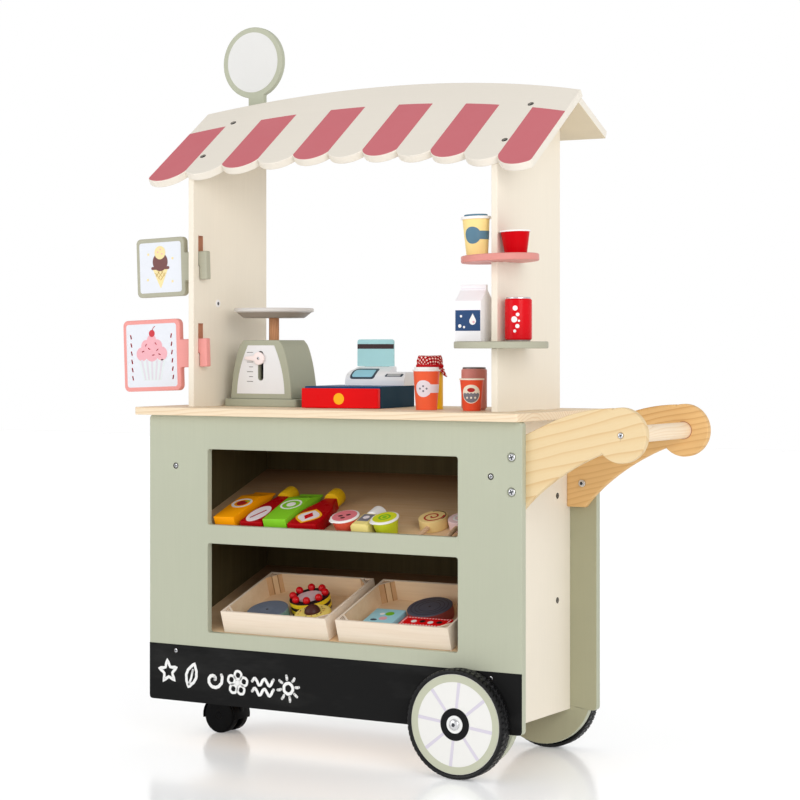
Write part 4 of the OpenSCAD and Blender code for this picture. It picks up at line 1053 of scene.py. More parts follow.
# awning screws: dark steel heads, their darkness partly painted shade of the holes
for x in (59.7, 591.7):
    for s in (0, 101.5):
        head(screws, AWNING @ T(x, s, 0), 3.6, 0.6, 1.6, DARK_STEEL_AND_SHADE)
        recess(screws, AWNING @ T(x, s, 0))
ridge_z = 843 - 12 / math.cos(math.radians(35.8)) + math.tan(math.radians(35.8)) * (161 - 58)
for x in (59.7, 591.7):
    zz = ridge_z - math.tan(math.radians(26)) * (188 - 161) + 12 / math.cos(math.radians(26))
    head(screws, W @ T(x, 188, zz) @ R(-26, "X"), 3.8, 0.6, 1.6)
head(screws, W @ T(795, 12, 423.5) @ R(90, "X"), 4.0, 1.0, 0.1)
head(screws, W @ T(795, 243, 423.5) @ R(-90, "X"), 4.0, 1.0, 0.1)
for x in (-15, 15):
    for y in (-15, 15):
        head(screws, W @ T(89 + x, 127.5 + y, -2.5) @ R(180, "X"), 3.2, 1.5, 0.0, ZINC)
screws.done("stall", "steel", ["wood_screws"])

bolts = Piece("handle_bolt_heads")
for z in (390, 341):
    for y, s in ((0, 1), (255, -1)):
        M = W @ T(632.4, y, z) @ R(90 * s, "X")
        head(bolts, M, 5.8, 2.0, 2.1)
        bolts.lathe(rounded([(0, -28.6, 0), (3.0, -28.6, 0.8), (3.0, -27.8, 0.2), (5.6, -27.6, 1.0), (5.6, -24, 0), (0, -24, 0)], False), CHROME, M, 28)
        # painted shade: dark disc for the socket at the nut's end
        bolts.prism(circle(0, 0, 2.5, 18), -28.75, -28.4, DARK_STEEL_AND_SHADE, M)
bolts.done("stall", "steel", ["handle_bolts"])

cap = Piece("post_screw_cap")
CAPM = W @ T(64.7, 90.8, 613.2) @ R(90, "Y")
cap.lathe(rounded([(0, -0.1, 0), (6.2, -0.1, 0), (6.2, 0.9, 0.6), (3.2, 1.5, 0.4), (2.6, 0.9, 0), (0, 0.9, 0)], False), WHITE, CAPM, 32)
cap.lathe(rounded([(0, 0.85, 0), (2.7, 0.85, 0), (2.6, 1.1, 0.1), (0, 1.2, 0)], False), DARK_STEEL_AND_SHADE, CAPM, 24)
cap.done("stall", "white_paint")

# ---------------------------------------------------------------- scale
pan = Piece("scale_pan_dish")
PANM = W @ T(143.6, 132, 590.4)
# painted shade: the pan's underside and lower outer wall take the darker copy of its grey
pan.lathe(rounded([(0, 0, 0, PAN_UNDER_SHADE), (47.5, 0, 2, PAN_UNDER_SHADE), (50, 1.6, 1, PAN_UNDER_SHADE), (58.4, 8.4, 2, PAN), (62.4, 10.0, 1.5, PAN), (63, 13.0, 1.6, PAN), (61.4, 15.6, 1.4, PAN),
                   (57, 14, 4, PAN), (48, 5.2, 6, PAN), (0, 4.2, 0, PAN)], False, 6), PAN, PANM, 112)
pan.lathe(rounded([(0, 3.8, 0), (5, 3.8, 0), (5, 5.2, 0.8), (0, 5.6, 0)], False), CHROME, PANM, 24)
pan.done("scale_plunger", "grey_paint", ["scale_pan"])

dial = Piece("scale_dial")
sides = []
for k in range(13):
    f = k / 12
    z = 472 + 75.4 * f
    xr = 187.8 - 2.0 * f - 17.2 * f ** 2
    xl = 98.7 + 2.4 * f + 18.4 * f ** 2
    sides.append((xl, xr, z))
outline = [(xr, z) for xl, xr, z in sides] + [(xl, z) for xl, xr, z in reversed(sides)]
slot_hole = [(143.6 + 5.1 * math.cos(math.radians(a)), 533.5 + 5.1 * math.sin(math.radians(a))) for a in range(0, 181, 15)]
slot_hole += [(143.6 + 5.1 * math.cos(math.radians(a)), 497.5 + 5.1 * math.sin(math.radians(a))) for a in range(180, 361, 15)]
dial.slab(fill(outline, [slot_hole]), on_front(95), -0.05, 0.35, DIAL)
for k in range(7):
    z = 536.4 - 7.55 * k
    dial.slab(band([(118 if k % 2 == 0 else 122, z), (129, z)], 0.9), on_front(95), 0.3, 0.5, TICK)
dial.done("stall", "white_paint")

ptr = Piece("scale_pointer_arm")
pts = [(142 + 10 * math.cos(math.radians(a)), 527 + 10 * math.sin(math.radians(a))) for a in range(-130, 131, 10)]
pts += rounded([(133, 531.6, 4), (116, 529.6, 1.8), (116, 525.4, 1.8), (134, 522.8, 4)], False)
PM = W @ T(0, 94, 0) @ R(90, "X")
ptr.prism(pts, 0, 4, POINTER, PM, 0.9, 3)
head(ptr, W @ T(142, 90, 527) @ R(90, "X"), 2.6, 0.9, -0.1)
ptr.lathe([(0, -37), (3, -37), (3, 0.2), (0, 0.2)], ZINC, W @ T(143.6, 94, 527) @ R(90, "X"), 20)
ptr.done("scale_plunger", "pink_paint", ["scale_pointer"])

# ---------------------------------------------------------------- till
dot = Piece("drawer_knob_dot")
dot.slab(fill(circle(63.5, 14.6, 8.6, 44)), on_front(0), -0.05, 0.3, YELLOW_DOT, TILL)
dot.done("till_drawer", "yellow_paint")
con = Piece("till_console")
side = rounded([(103, 33, 0), (103.4, 41.5, 6), (107, 48.6, 8), (115, 55, 10), (132, 61.4, 6), (136, 62.3, 2), (142, 62.3, 1.5), (142, 33, 0)], True, 5)
bm = bmesh.new()
xs = [25.9 + 15 * (1 - math.cos(math.pi / 2 * k / 8)) for k in range(9)] + [60, 80, 95.6, 96.2, 96.5, 96.6, 110, 122, 124.6, 126, 126.5]
rows = []
for x in xs:
    # round left shoulder, lower right part, its end slightly eased
    if x < 40.9:
        top = 47.4 + math.sqrt(max(0.0, 15 ** 2 - (40.9 - x) ** 2))
    elif x < 96.55:
        top = 70 if x < 95.9 else 62.3 - 2 * (x - 95.9)
    else:
        top = 54 - (2.5 * (1 - math.sqrt(max(0.0, 1 - ((x - 122) / 4.5) ** 2))) if x > 122 else 0)
    rows.append([bm.verts.new((x, y, min(z, max(33, top)))) for y, z in side])
for a, b in zip(rows, rows[1:]):
    for i in range(len(a)):
        q = (i + 1) % len(a)
        bm.faces.new((a[i], a[q], b[q], b[i]))
bm.faces.new(rows[0])
bm.faces.new(rows[-1][::-1])
bmesh.ops.recalc_face_normals(bm, faces=bm.faces[:])
con.add_bm(bm, CONSOLE, TILL)
# painted shade: a flat dark patch for the card slot's shaded opening
con.slab(fill(rrect(44.4, 135.8, 86.2, 139.4, 0.8)), on_top(62.3), -0.1, 0.05, SLOT_SHADE, TILL)


def brow(u, v, d):
    """A point of the console's curved front: u along X, v its height, d off the surface."""
    pts = [(y, z) for y, z in side if 33 < z < 62.2 and y < 137]
    for (y0, z0), (y1, z1) in zip(pts, pts[1:]):
        if v <= z1 or (y1, z1) == pts[-1]:
            f = max(0.0, min(1.0, (v - z0) / (z1 - z0)))
            n = Vector((y0 - y1, 0, 0)).length
            e = math.hypot(z1 - z0, y1 - y0)
            return (u, y0 + f * (y1 - y0) - d * (z1 - z0) / e, z0 + f * (z1 - z0) + d * n / e)


def tall(points):
    """Rounded outline with height first, so that it is cut across its height."""
    return fill([(z, x) for x, z in reversed(rounded(points, True, 8))], cut=1.0)


def brow_tall(u, v, d):
    return brow(v, u, d)


con.slab(tall([(32.6, 43.0, 5), (74.4, 43.0, 6), (77.6, 58.6, 3.5), (34.6, 58.6, 9)]), brow_tall, -0.8, 0.5, SLATE, TILL)
con.slab(tall([(36.0, 45.9, 3.2), (71.2, 45.9, 4.0), (73.6, 56.5, 2.2), (37.8, 56.5, 6)]), brow_tall, 0.1, 0.8, SCREEN, TILL)
con.slab(tall([(91.5, 46.8, 1.2), (121.0, 46.8, 1.8), (123.6, 51.0, 1.8), (94.2, 51.0, 1.2)]), brow_tall, -0.8, 0.4, SLATE, TILL)
con.slab(tall([(95.4, 47.3, 0.8), (117.6, 47.3, 0.8), (119.4, 50.6, 0.8), (96.8, 50.6, 0.8)]), brow_tall, 0.1, 0.65, SLOT_GREY, TILL)
con.done("stall", "grey_paint", ["register_console"])
tray = Piece("till_rim")
tray.slab(fill(rrect(1.2, 14.4, 125.8, 102.6, 1)), on_top(33), -0.05, 0.2, BLUE_EDGE, TILL)
tray.slab(fill(rrect(1.2, 103.2, 27.2, 140.8, 1)), on_top(33), -0.05, 0.2, BLUE_EDGE, TILL)
tray.slab(fill(rrect(0.8, 30.6, 126.2, 32.4, 0.3)), on_front(13.4), -0.05, 0.2, BLUE_EDGE, TILL)
tray.done("stall", "blue_paint")
cd = Piece("card_stripe")
cd.slab(fill(rrect(32.0, 90, 94.4, 97.4, 0.3)), on_front(136.2), -0.05, 0.15, CARD_BAND, TILL)
cd.slab(fill(rrect(31.85, 62.75, 94.55, 70, 0.3)), on_front(136.2), -2.85, 0.05, CARD, TILL)
cd.done("till_card", "card_blue")

# ---------------------------------------------------------------- goods on the counter and the round shelves
def flat_label(p, fn, rc, half, length, mat, zc, M, d=0.3):
    """Round label with a strap that runs on round the cup."""
    th = math.asin(min(0.99, half / rc))
    pts = [(rc * math.cos(th + (2 * math.pi - 2 * th) * k / 40), zc + rc * math.sin(th + (2 * math.pi - 2 * th) * k / 40)) for k in range(41)]
    pts += [(length, zc - half), (length, zc + half)]
    p.slab(fill(pts, cut=2.2), fn, -0.1, d, mat, M)


def cup(name, body, slot, node, M, r0, r1, z0, z1, rr, rt, h, mat, rim, top, label):
    """Tapered cup: rim from z0 to z1, then a lid up to h or a sunken top."""
    p = Piece(name)
    prof = [(0, 0.6, 0, mat), (r0 - 1.6, 0.6, 0.3, mat), (r0 - 1.0, 0, 0.4, mat), (r0, 0, 0.8, mat), (r1, z0, 0, rim), (rr - 0.1, z0, 0.6, rim),
            (rr, z1, 0.8, rim)]
    if h - z1 > 1.5:
        prof += [(rt, z1, 0.3, top), (rt - 0.3, h, 0.9, top), (rt - 3, h, 0.3, top), (rt - 3.4, h - 0.6, 0.3, top), (0, h - 0.6, 0, top)]
    else:
        prof += [(rt, z1, 0.4, rim), (rt - 0.6, h - 1.6, 0.3, top), (0, h - 1.6, 0, top)]
    p.lathe(rounded(prof, False), mat, M, 72)
    if label:
        label(p, M)
    return p.done(body, slot, [node])


def lab_orange(p, M):
    fn = round_wall(0, 0, 0, 15.7, 19.5, 57, SEEN - 16.5)
    flat_label(p, fn, 12.4, 6.2, 52, LILAC, 31.6, M)
    for k, (du, dv) in enumerate(((-5, 0), (0, 3.6), (5, 0), (0, -3.6))):
        p.slab(fill(circle(du, 31.6 + dv, 1.5, 14), cut=1.2), fn, 0.2, 0.42, GREY_LABEL, M)


cup("orange_cup_toy", "loose_orange_cup", "orange_paint", "orange_cup", W @ T(452.6, 75, 452.2), 15.7, 19.5, 57, 59.3, 20.7, 18.3, 63,
    CORAL, WHITE, WHITE, lab_orange)


def lab_small(p, M):
    fn = round_wall(0, 0, 0, 12.9, 17.2, 44.8, SEEN - 6)
    zc = 24.5
    p.slab(fill(circle(0, zc, 13.6, 44), cut=2.0), fn, -0.1, 0.25, CREAM_LABEL, M)
    low = [(12.4 * math.cos(math.radians(a)), zc + 12.4 * math.sin(math.radians(a))) for a in range(186, 355, 6)]
    low += [(12.2 - 2.4 * k, zc + 0.9 + (1.2 if k % 2 else -0.4)) for k in range(0, 11)]
    p.slab(fill(low, cut=2.0), fn, 0.2, 0.36, GREY_LABEL, M)
    for du in (-6, 0, 6):
        p.slab(fill(circle(du, zc - 5.3, 1.5, 14), cut=1.0), fn, 0.3, 0.46, CREAM_LABEL, M)
    p.slab(fill(ellipse(0, zc + 5.9, 5.4, 3.2, 28), cut=1.5), fn, 0.2, 0.38, SPIRAL, M)


cup("small_cup_toy", "loose_small_cup", "orange_paint", "small_cup", W @ T(531.5, 70, 452.2), 12.9, 17.2, 44.8, 47, 18.5, 16.2, 48,
    ORANGE_RED, CREAM_RIM, ORANGE_RED, lab_small)


def lab_yellow(p, M):
    flat_label(p, round_wall(0, 0, 0, 15.6, 19.6, 53, SEEN - 22), 12.2, 6.0, 50, TEAL_BLUE, 29.5, M)


cup("yellow_cup_toy", "loose_yellow_cup", "yellow_paint", "yellow_cup", CUPS @ T(558.5, 38, 0.2), 15.6, 19.6, 53, 57, 22, 17.2, 60,
    YELLOW, WHITE, TEAL_BLUE, lab_yellow)
cup("red_cup_toy", "loose_red_cup", "red_paint", "red_cup", CUPS @ T(620.9, 38.2, 0.2), 15.8, 20.6, 30.6, 32.8, 22.4, 20.6, 33,
    CUP_RED, WHITE, CUP_RED, None)


def can(name, body, slot, node, x, y, z, r, h, mat, rim, lid, art=None, foot=None):
    p = Piece(name)
    M = W @ T(x, y, z)
    foot = foot or mat
    p.lathe(rounded([(0, 1.2, 0, foot), (r - 4.5, 1.2, 0.4, foot), (r - 3.6, 0, 0.5, foot), (r - 2.3, 0, 0.5, foot), (r - 1.9, 1.9, 0.5, mat), (r, 3.5, 1.4, mat),
                     (r, h - 4.2, 1.4, mat), (r - 1.9, h - 2.4, 0.6, rim), (r - 1.9, h - 0.5, 0.5, rim),
                     (r - 3.0, h, 0.4, rim), (r - 3.7, h - 0.6, 0.4, lid), (r - 4.1, h - 1.6, 0.3, lid), (0, h - 1.6, 0, lid)], False), mat, M, 72)
    p.prism(ellipse(0, 1.5, 3.2, 5.2, 28, 20), h - 1.6, h - 0.9, rim, M, 0.25, 2)
    if art:
        art(p)
    return p.done(body, slot, [node])


def art_red(p):
    fn = round_wall(621.3, 44, 553.2, 19.4, 19.4, 63, SEEN - 14)
    for u, v, r in ((-1, 47, 3.6), (2.6, 38, 2.6), (-2.4, 31, 4.4), (2.2, 21.5, 3.0), (-1.6, 14.5, 2.2), (4.4, 29, 1.6)):
        p.slab(fill(circle(u, v, r, 28), cut=1.6), fn, -0.05, 0.2, WHITE)


can("red_can_toy", "loose_red_can", "red_paint", "red_can", 621.3, 44, 553.2, 19.4, 63, CAN_RED, TIN, TIN, art_red, TIN)
can("pink_can_toy", "loose_pink_can", "can_pink", "pink_can", 513.6, 110, 452.2, 19, 63, CAN_PINK, TIN_DARK, TIN)

milk = Piece("carton_toy")
MM = W @ T(549, 45, 553.2)
prof = [(-19, 0), (19, 0), (19, 58), (2.4, 73.6), (2.4, 81.3), (-2.4, 81.3), (-2.4, 73.6), (-19, 58)]
YZ = MM @ Matrix(((0, 0, 1, 0), (1, 0, 0, 0), (0, 1, 0, 0), (0, 0, 0, 1)))
milk.prism(rounded([(x, y, r) for (x, y), r in zip(prof, (0.6, 0.6, 1.2, 1.2, 0.8, 0.8, 1.2, 1.2))]), -21, 21, CARTON, YZ, 0.7, 3)
fb = on_front(-19)
milk.slab(fill(rrect(-20.4, 15, 20.4, 44.7, 0.4)), fb, -0.05, 0.2, DEEP_BLUE, MM)
drop = [(8 + 5.4 * math.sin(math.radians(a)), 29 - 5.4 * math.cos(math.radians(a))) for a in range(-120, 121, 12)] + [(8, 40)]
milk.slab(fill(drop), fb, 0.15, 0.34, WHITE, MM)
milk.slab(fill(circle(9.6, 27.6, 1.8, 18)), fb, 0.3, 0.44, PRINT_ROSE, MM)
for x, z, r in ((-13, 22, 2.6), (-6, 20.4, 1.7), (-11, 36, 1.8)):
    milk.slab(fill(circle(x, z, r, 22)), fb, 0.15, 0.32, WHITE, MM)
milk.slab(fill(rrect(-19.2, 75.4, 19.2, 76.0, 0.25)), on_front(-2.4), -0.05, 0.12, PRINT_LILAC, MM)
for s in (1, -1):
    # folded gable ends
    milk.slab(fill([(-15.5, 58.4), (15.5, 58.4), (0, 72.4)]), lambda u, v, d, s=s: (s * (21 + d), u, v), -0.05, 0.15, CARTON, MM)
milk.done("loose_milk_carton", "white_paint", ["milk_carton"])

jar = Piece("jar_toy")
JM = W @ T(433, 119, 452.2)
jar.lathe(rounded([(0, 0.8, 0), (18, 0.8, 0.3), (18.6, 0, 0.4), (20, 0, 1.2), (20, 56.5, 2.0), (16.9, 58.6, 0.8), (16.0, 75.6, 2.5), (0, 76.4, 0)], False), JAR, JM, 72)
# tie round the cover, with a knot
tie = [(19.3 + 1.5 * math.cos(t), 64.4 + 2.5 * math.sin(t)) for t in [2 * math.pi * k / 10 for k in range(11)]]
jar.lathe(tie, BAND_RED, JM, 72)
jar.ball((20.2 * math.cos(math.radians(SEEN + 62)), 20.2 * math.sin(math.radians(SEEN + 62)), 63.6), 2.8, BAND_RED, JM)
jar.done("loose_jam_jar", "jar_yellow", ["jam_jar"])


def make_cover():
    """Square of cloth gathered over the jar's top; each flat point keeps its distance along the cloth."""
    half, nr, na = 37.0, 44, 200
    me = bpy.data.meshes.new("jar_cover_cloth")
    v, uv, f = [], [], []
    JC = JM
    def place(fx, fy):
        rho, phi = math.hypot(fx, fy), math.atan2(fy, fx)
        gather = 0.5 + 0.5 * math.sin(13 * phi + 0.9 * math.sin(3 * phi + 1))
        fine = math.sin(21 * phi + 1.3 * math.sin(5 * phi))
        crumple = noise.noise(Vector((fx * 0.09, fy * 0.09, 3.1)))
        peak = 1.5 * math.cos(2 * (phi - math.radians(SEEN + 90)))
        if rho < 16.5:
            r, z = rho, 78.6 + 1.2 * crumple * (rho / 16.5) + 0.8 * (1 - (rho / 16.5) ** 2) + peak * (rho / 16.5) ** 2
        elif rho < 33:
            t = (rho - 16.5) / 16.5
            bulge = math.sin(math.pi * min(1.0, t * 1.05))
            r = 16.5 + 1.7 * bulge + 1.4 * t + t * (1 - 0.6 * t) * (1.6 * gather - 0.4 + 0.6 * fine) + 1.1 * crumple * bulge
            z = 78.6 + (1.2 * crumple + peak) * (1 - t) - 15.6 * t - 0.4 * math.sin(math.pi * t)
        else:
            s = rho - 33
            k = min(1.0, s / 8)
            r = 18.6 + 0.42 * s + k * (2.2 * gather - 0.3 + 0.9 * fine)
            z = 63.0 - 0.86 * s
        if 27 < rho < 37:
            pinch = math.cos(math.pi / 2 * (rho - 32) / 5)
            r += (18.3 - r) * max(0.0, min(1.0, 0.92 * pinch))
        return (r * math.cos(phi), r * math.sin(phi), z)
    turn = math.radians(SEEN + 17)
    def flat(i, j):
        s, a = j / nr, 2 * math.pi * i / na
        c, d = math.cos(a), math.sin(a)
        b = half / max(abs(c), abs(d))
        b = min(b, half * 1.36)
        return s * b * c, s * b * d
    v.append(Vector(place(0, 0)))
    uv.append((0.5, 0.5))
    for i in range(na):
        for j in range(1, nr + 1):
            x, y = flat(i, j)
            p = place(x * math.cos(turn) - y * math.sin(turn), x * math.sin(turn) + y * math.cos(turn))
            v.append(Vector(p))
            uv.append((0.5 + x / (2 * half), 0.5 + y / (2 * half)))
    idx = lambda i, j: 0 if j == 0 else 1 + (i % na) * nr + (j - 1)
    for i in range(na):
        f.append((0, idx(i, 1), idx(i + 1, 1)))
        for j in range(1, nr):
            f.append((idx(i, j), idx(i, j + 1), idx(i + 1, j + 1), idx(i + 1, j)))
    me.from_pydata([JC @ p for p in v], [], f)
    layer = me.uv_layers.new(name="flat")
    for loop in me.loops:
        layer.data[loop.index].uv = uv[loop.vertex_index]
    me.materials.append(CLOTH)
    me.polygons.foreach_set("use_smooth", [True] * len(me.polygons))
    me.update()
    o = bpy.data.objects.new("jar_cover_cloth", me)
    bpy.context.scene.collection.objects.link(o)
    s = o.modifiers.new("thickness", "SOLIDIFY")
    s.thickness = 0.0004
    s.offset = 1
    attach(o, "loose_jam_jar")
    return o


make_cover()

# ---------------------------------------------------------------- goods on the upper shelf
def carton_box(p, M, w, h, mat):
    """Carton on its back: flat base to the front, folded top with a fin to the back."""
    N = M @ Matrix(((0, 0, 1, 0), (1, 0, 0, 0), (0, 1, 0, 0), (0, 0, 0, 1)))
    p.prism(rounded([(0, 0, 1.2), (80, 0, 1), (112, h / 2 - 1.4, 0.8), (118, h / 2 - 1.4, 0.4), (118, h / 2 + 1.4, 0.4), (112, h / 2 + 1.4, 0.8), (80, h, 1.2), (0, h, 1.4)]),
            0, w, mat, N, 1.1, 3)


def ring_flat(cx, cy, r0, r1, n=40, sx=1.0):
    v = [(cx + sx * r * math.cos(2 * math.pi * i / n), cy + r * math.sin(2 * math.pi * i / n)) for r in (r0, r1) for i in range(n)]
    return v, [(n + i, n + (i + 1) % n, (i + 1) % n, i) for i in range(n)]


boxes = Piece("juice_box_toys")
M = UPPER @ T(114.5, 6, 0.3)
carton_box(boxes, M, 37.5, 24.5, ORANGE)
boxes.slab(ring_flat(18.7, 53, 12.6, 16.6), on_top(24.5), -0.05, 0.22, WHITE, M)
boxes.slab(fill(circle(18.7, 53, 8.6, 36)), on_top(24.5), -0.05, 0.22, SPIRAL, M)
boxes.slab(fill(ellipse(25.2, 60.5, 4.2, 2.0, 24, 35)), on_top(24.5), -0.02, 0.3, LEAF, M)
M = UPPER @ T(205.5, 5.2, 0.3) @ R(2.5, "Z")
carton_box(boxes, M, 40, 25, LIME)
boxes.slab(ring_flat(20, 55, 14.2, 17.2), on_top(25), -0.05, 0.22, WHITE, M)
boxes.slab(fill(circle(20, 55, 7.4, 34)), on_top(25), -0.05, 0.22, WHITE, M)
boxes.done("stall", "goods_mixed", ["juice_boxes"])


def bez(a, b, c, d, n):
    out = []
    for i in range(n + 1):
        t = i / n
        out.append(tuple((1 - t) ** 3 * a[k] + 3 * (1 - t) ** 2 * t * b[k] + 3 * (1 - t) * t * t * c[k] + t ** 3 * d[k] for k in (0, 1)))
    return out


bott = Piece("sauce_bottle_toys")
for xc, t0, w, r, cl, turn, kind in ((181.5, 5.1, 42, 12.5, 26, 0, 0), (272.4, 6, 51, 13.3, 22, 2, 1)):
    M = UPPER @ T(xc, t0, 0.3) @ R(turn, "Z")
    nk = 103 - t0
    hw, th = w / 2, 19.5
    out = rounded([(-hw, 0, 4), (hw, 0, 4)] + [(x, y, 0) for x, y in bez((hw, nk - 55.5), (hw - 2, nk - 27.5), (14, nk - 27.5), (10, nk), 12)]
                  + [(x, y, 0) for x, y in bez((-10, nk), (-14, nk - 27.5), (-hw + 2, nk - 27.5), (-hw, nk - 55.5), 12)])
    bott.prism(out, 0, th, BOTTLE, M, 5.5, 6)
    capM = M @ T(0, nk - 0.5, r) @ R(-90, "X")
    prof = []
    for k in range(96):
        a = 2 * math.pi * k / 96
        rr = r - (0.4 if (k // 2) % 2 else 0.0)
        prof.append((rr * math.cos(a), rr * math.sin(a)))
    bott.prism(prof, 0, cl - 0.2, CAP, capM, 0.8, 2)
    top = on_top(th)
    if kind == 0:
        bott.slab(fill(ellipse(-2.6, 29.5, 15.4, 28, 48)), top, -0.05, 0.25, LABEL, M)
        bott.slab(band([(-8 + 1.0 * k, 15 + 2.4 * k) for k in range(12)], 3.2), top, 0.2, 0.4, BOTTLE, M)
    else:
        lens = [(21.5 * math.sin(math.pi * k / 20) * s, 28.5 + 25 * (1 - 2 * k / 20)) for s in (1, -1)
                for k in (range(0, 20) if s > 0 else range(20, 0, -1))]
        bott.slab(fill([(x - 1.5, y) for x, y in lens]), top, -0.05, 0.25, YELLOW_DOT, M)
        bott.slab(fill([(0.82 * x - 1.5, 28.5 + 0.80 * (y - 28.5)) for x, y in lens]), top, 0.2, 0.38, LABEL, M)
        bott.slab(fill([(-1.5, 16.5), (6.5, 28.5), (-1.5, 40.5), (-9.5, 28.5)]), top, 0.3, 0.5, CAN_RED, M)
bott.done("stall", "goods_mixed", ["sauce_bottles"])

pots = Piece("dessert_pot_toys")
for xc, yc, r, h, mat, lid in ((340, 26, 22.3, 27, POT_CORAL, LID_PINK), (410, 25, 21.5, 28, POT_LIME, LID_LIME)):
    M = UPPER @ T(xc, yc, 0.3)
    pots.lathe(rounded([(0, 0.6, 0, mat), (12.6, 0.6, 0.3, mat), (13.6, 0, 0.5, mat), (15, 0, 0.8, mat), (r - 1.6, h - 3, 0.4, WHITE), (r, h - 3, 0.8, WHITE),
                        (r, h - 0.6, 0.7, WHITE), (r - 2.4, h, 0.3, WHITE), (0, h, 0, WHITE)], False), mat, M, 64)
    # pull tab of the lid
    tab = [((r - 1.5) * math.cos(math.radians(a)), (r - 1.5) * math.sin(math.radians(a))) for a in range(-118, -61, 6)]
    pots.prism(tab + [(6.0, -r - 1.2), (2.6, -r - 2.4), (-2.6, -r - 2.4), (-6.0, -r - 1.2)], h - 2.4, h - 0.9, WHITE, M @ R(-34, "Z"), 0.3, 2)
    pots.slab(fill(circle(0, 0, r - 3.2, 56)), on_top(h), -0.05, 0.3, lid, M)
for dx, dy in ((-6, -2), (5, 3), (1, -8)):
    pots.slab(fill(ellipse(340 + dx, 26 + dy, 3.6, 2.6, 24, 20)), on_top(27.3), 0.2, 0.5, CHOCO, UPPER)
pots.slab(ring_flat(410, 25, 6.5, 9.5), on_top(28.3), 0.2, 0.48, LEAF, UPPER)
pots.slab(fill(circle(410, 25, 3.6, 26)), on_top(28.3), 0.2, 0.48, LEAF, UPPER)
# small bottle on its back between the pots
BM = UPPER @ T(375, 5.2, 0.3) @ R(-90, "X")
pots.prism([(x, -n) for x, n in ((-11, 0), (11, 0), (15, 4), (15, 20), (11, 24), (-11, 24), (-15, 20), (-15, 4))], 0, 38.8, CUSTARD, BM, 1.2, 3)
pots.lathe(rounded([(0, 38.3, 0), (11, 38.3, 0), (13, 40, 1.2), (13, 62.8, 3), (10.5, 64.7, 1), (0, 64.7, 0)], False), WHITE, BM @ T(0, -13, 0), 48)
pots.slab(fill(rrect(365.6, 17, 384.4, 41, 1.2)), on_top(24.3), -0.05, 0.25, GREY_LABEL, UPPER)
pots.slab(fill(circle(375, 30, 5.2, 28)), on_top(24.3), 0.2, 0.36, LABEL, UPPER)
pots.done("stall", "goods_mixed", ["dessert_pots"])

lol = Piece("lollipop_toys")
for xc, yc, r, h, mat in ((471.5, 58.5, 22, 17, BISCUIT), (517, 62, 20, 16, ROSE_PALE)):
    M = UPPER @ T(xc, yc, 0.3)
    lol.lathe(rounded([(0, 0, 0), (r, 0, 1.0), (r, h, 1.2), (0, h, 0)], False), mat, M, 64)
    lol.lathe(rounded([(0, r - 1, 0), (3.6, r - 1, 0), (3.6, yc - 5, 1.0), (0, yc - 5, 0)], False), STICK, M @ T(1, 0, 8) @ R(90, "X"), 24)
M = UPPER @ T(471.5, 58.5, 0.3)
spiral = [((2.2 + 0.0275 * a) * math.cos(math.radians(a + 200)), (2.2 + 0.0275 * a) * math.sin(math.radians(a + 200))) for a in range(0, 541, 12)]
lol.slab(band(spiral, 2.6), on_top(17), -0.05, 0.25, SPIRAL, M)
lol.slab(band([(19.4 * math.cos(math.radians(a)), 19.4 * math.sin(math.radians(a))) for a in range(-20, 121, 8)], 1.8), on_top(17), -0.05, 0.22, CHOCO, M)
lol.slab(ring_flat(517, 62, 9.5, 12.5), on_top(16.3), -0.05, 0.25, WHITE, UPPER)
lol.done("stall", "goods_mixed", ["lollipops"])

# ---------------------------------------------------------------- treats in the crates
def disc(p, x, t, r, h, top, sidemat, rings=()):
    M = LOWER @ T(x, t, 3.6)
    p.lathe(rounded([(0, 0, 0, sidemat), (r, 0, 1.0, sidemat), (r, h - 1.0, 0.4, top), (r - 1.0, h, 0.4, top), (0, h, 0, top)], False), top, M, 72)
    for q, w, mat in rings:
        p.slab(ring_flat(0, 0, q, q + w, 64), on_top(h), -0.05, 0.18, mat, M)
    return M


lt = Piece("left_crate_toys")
GROOVE = enamel("disc_groove", (92, 102, 118), rough=0.5)
M = disc(lt, 188.2, 44.5, 32.5, 18.4, GREYBLUE, TEAL_SIDE, [(q, 0.6, GROOVE) for q in (12, 15.5, 19, 22.5, 26, 29.5)])
lt.slab(fill(circle(0, 0, 2.0, 18)), on_top(18.4), -0.05, 0.2, CAKE_DARK, M)
M = LOWER @ T(238, 90, 3.6)
lt.lathe(rounded([(0, 0, 0, CAKE_DARK), (31, 0, 0.8, CAKE_DARK), (31, 3.8, 0, CAKE_YELLOW), (31.6, 4.2, 0, CAKE_YELLOW), (31.7, 8.6, 0.4, CAKE_YELLOW), (31.1, 9.2, 0, CAKE_DARK),
                  (31.1, 14.6, 0, CAKE_YELLOW), (31.7, 15.0, 0.3, CAKE_YELLOW), (31.7, 21.4, 0.8, CAKE_DARK), (30.6, 22.2, 0.3, CAKE_DARK), (0, 22.2, 0, CAKE_DARK)], False), CAKE_DARK, M, 72)
lt.slab(fill(circle(0, 0, 20.4, 56)), on_top(22.2), -0.05, 0.35, CAKE_TOP, M)
for k in range(8):
    a = math.radians(45 * k + 22.5)
    lt.ball((25.2 * math.cos(a), 25.2 * math.sin(a), 26.4), 5.8, BERRY, M, 24, 16)
M = LOWER @ T(276.3, 36.7, 3.6)
lt.lathe(rounded([(0, 0, 0), (27.5, 0, 2.5), (29, 12, 8), (28.2, 22.6, 4), (25, 24, 2), (0, 24, 0)], False), COOKIE, M, 64)
lt.lathe([(12.6 * math.cos(math.radians(t)), 22.8 + 12.6 * math.sin(math.radians(t))) for t in range(0, 90, 10)] + [(0, 35.4), ], CHOCO, M, 40)
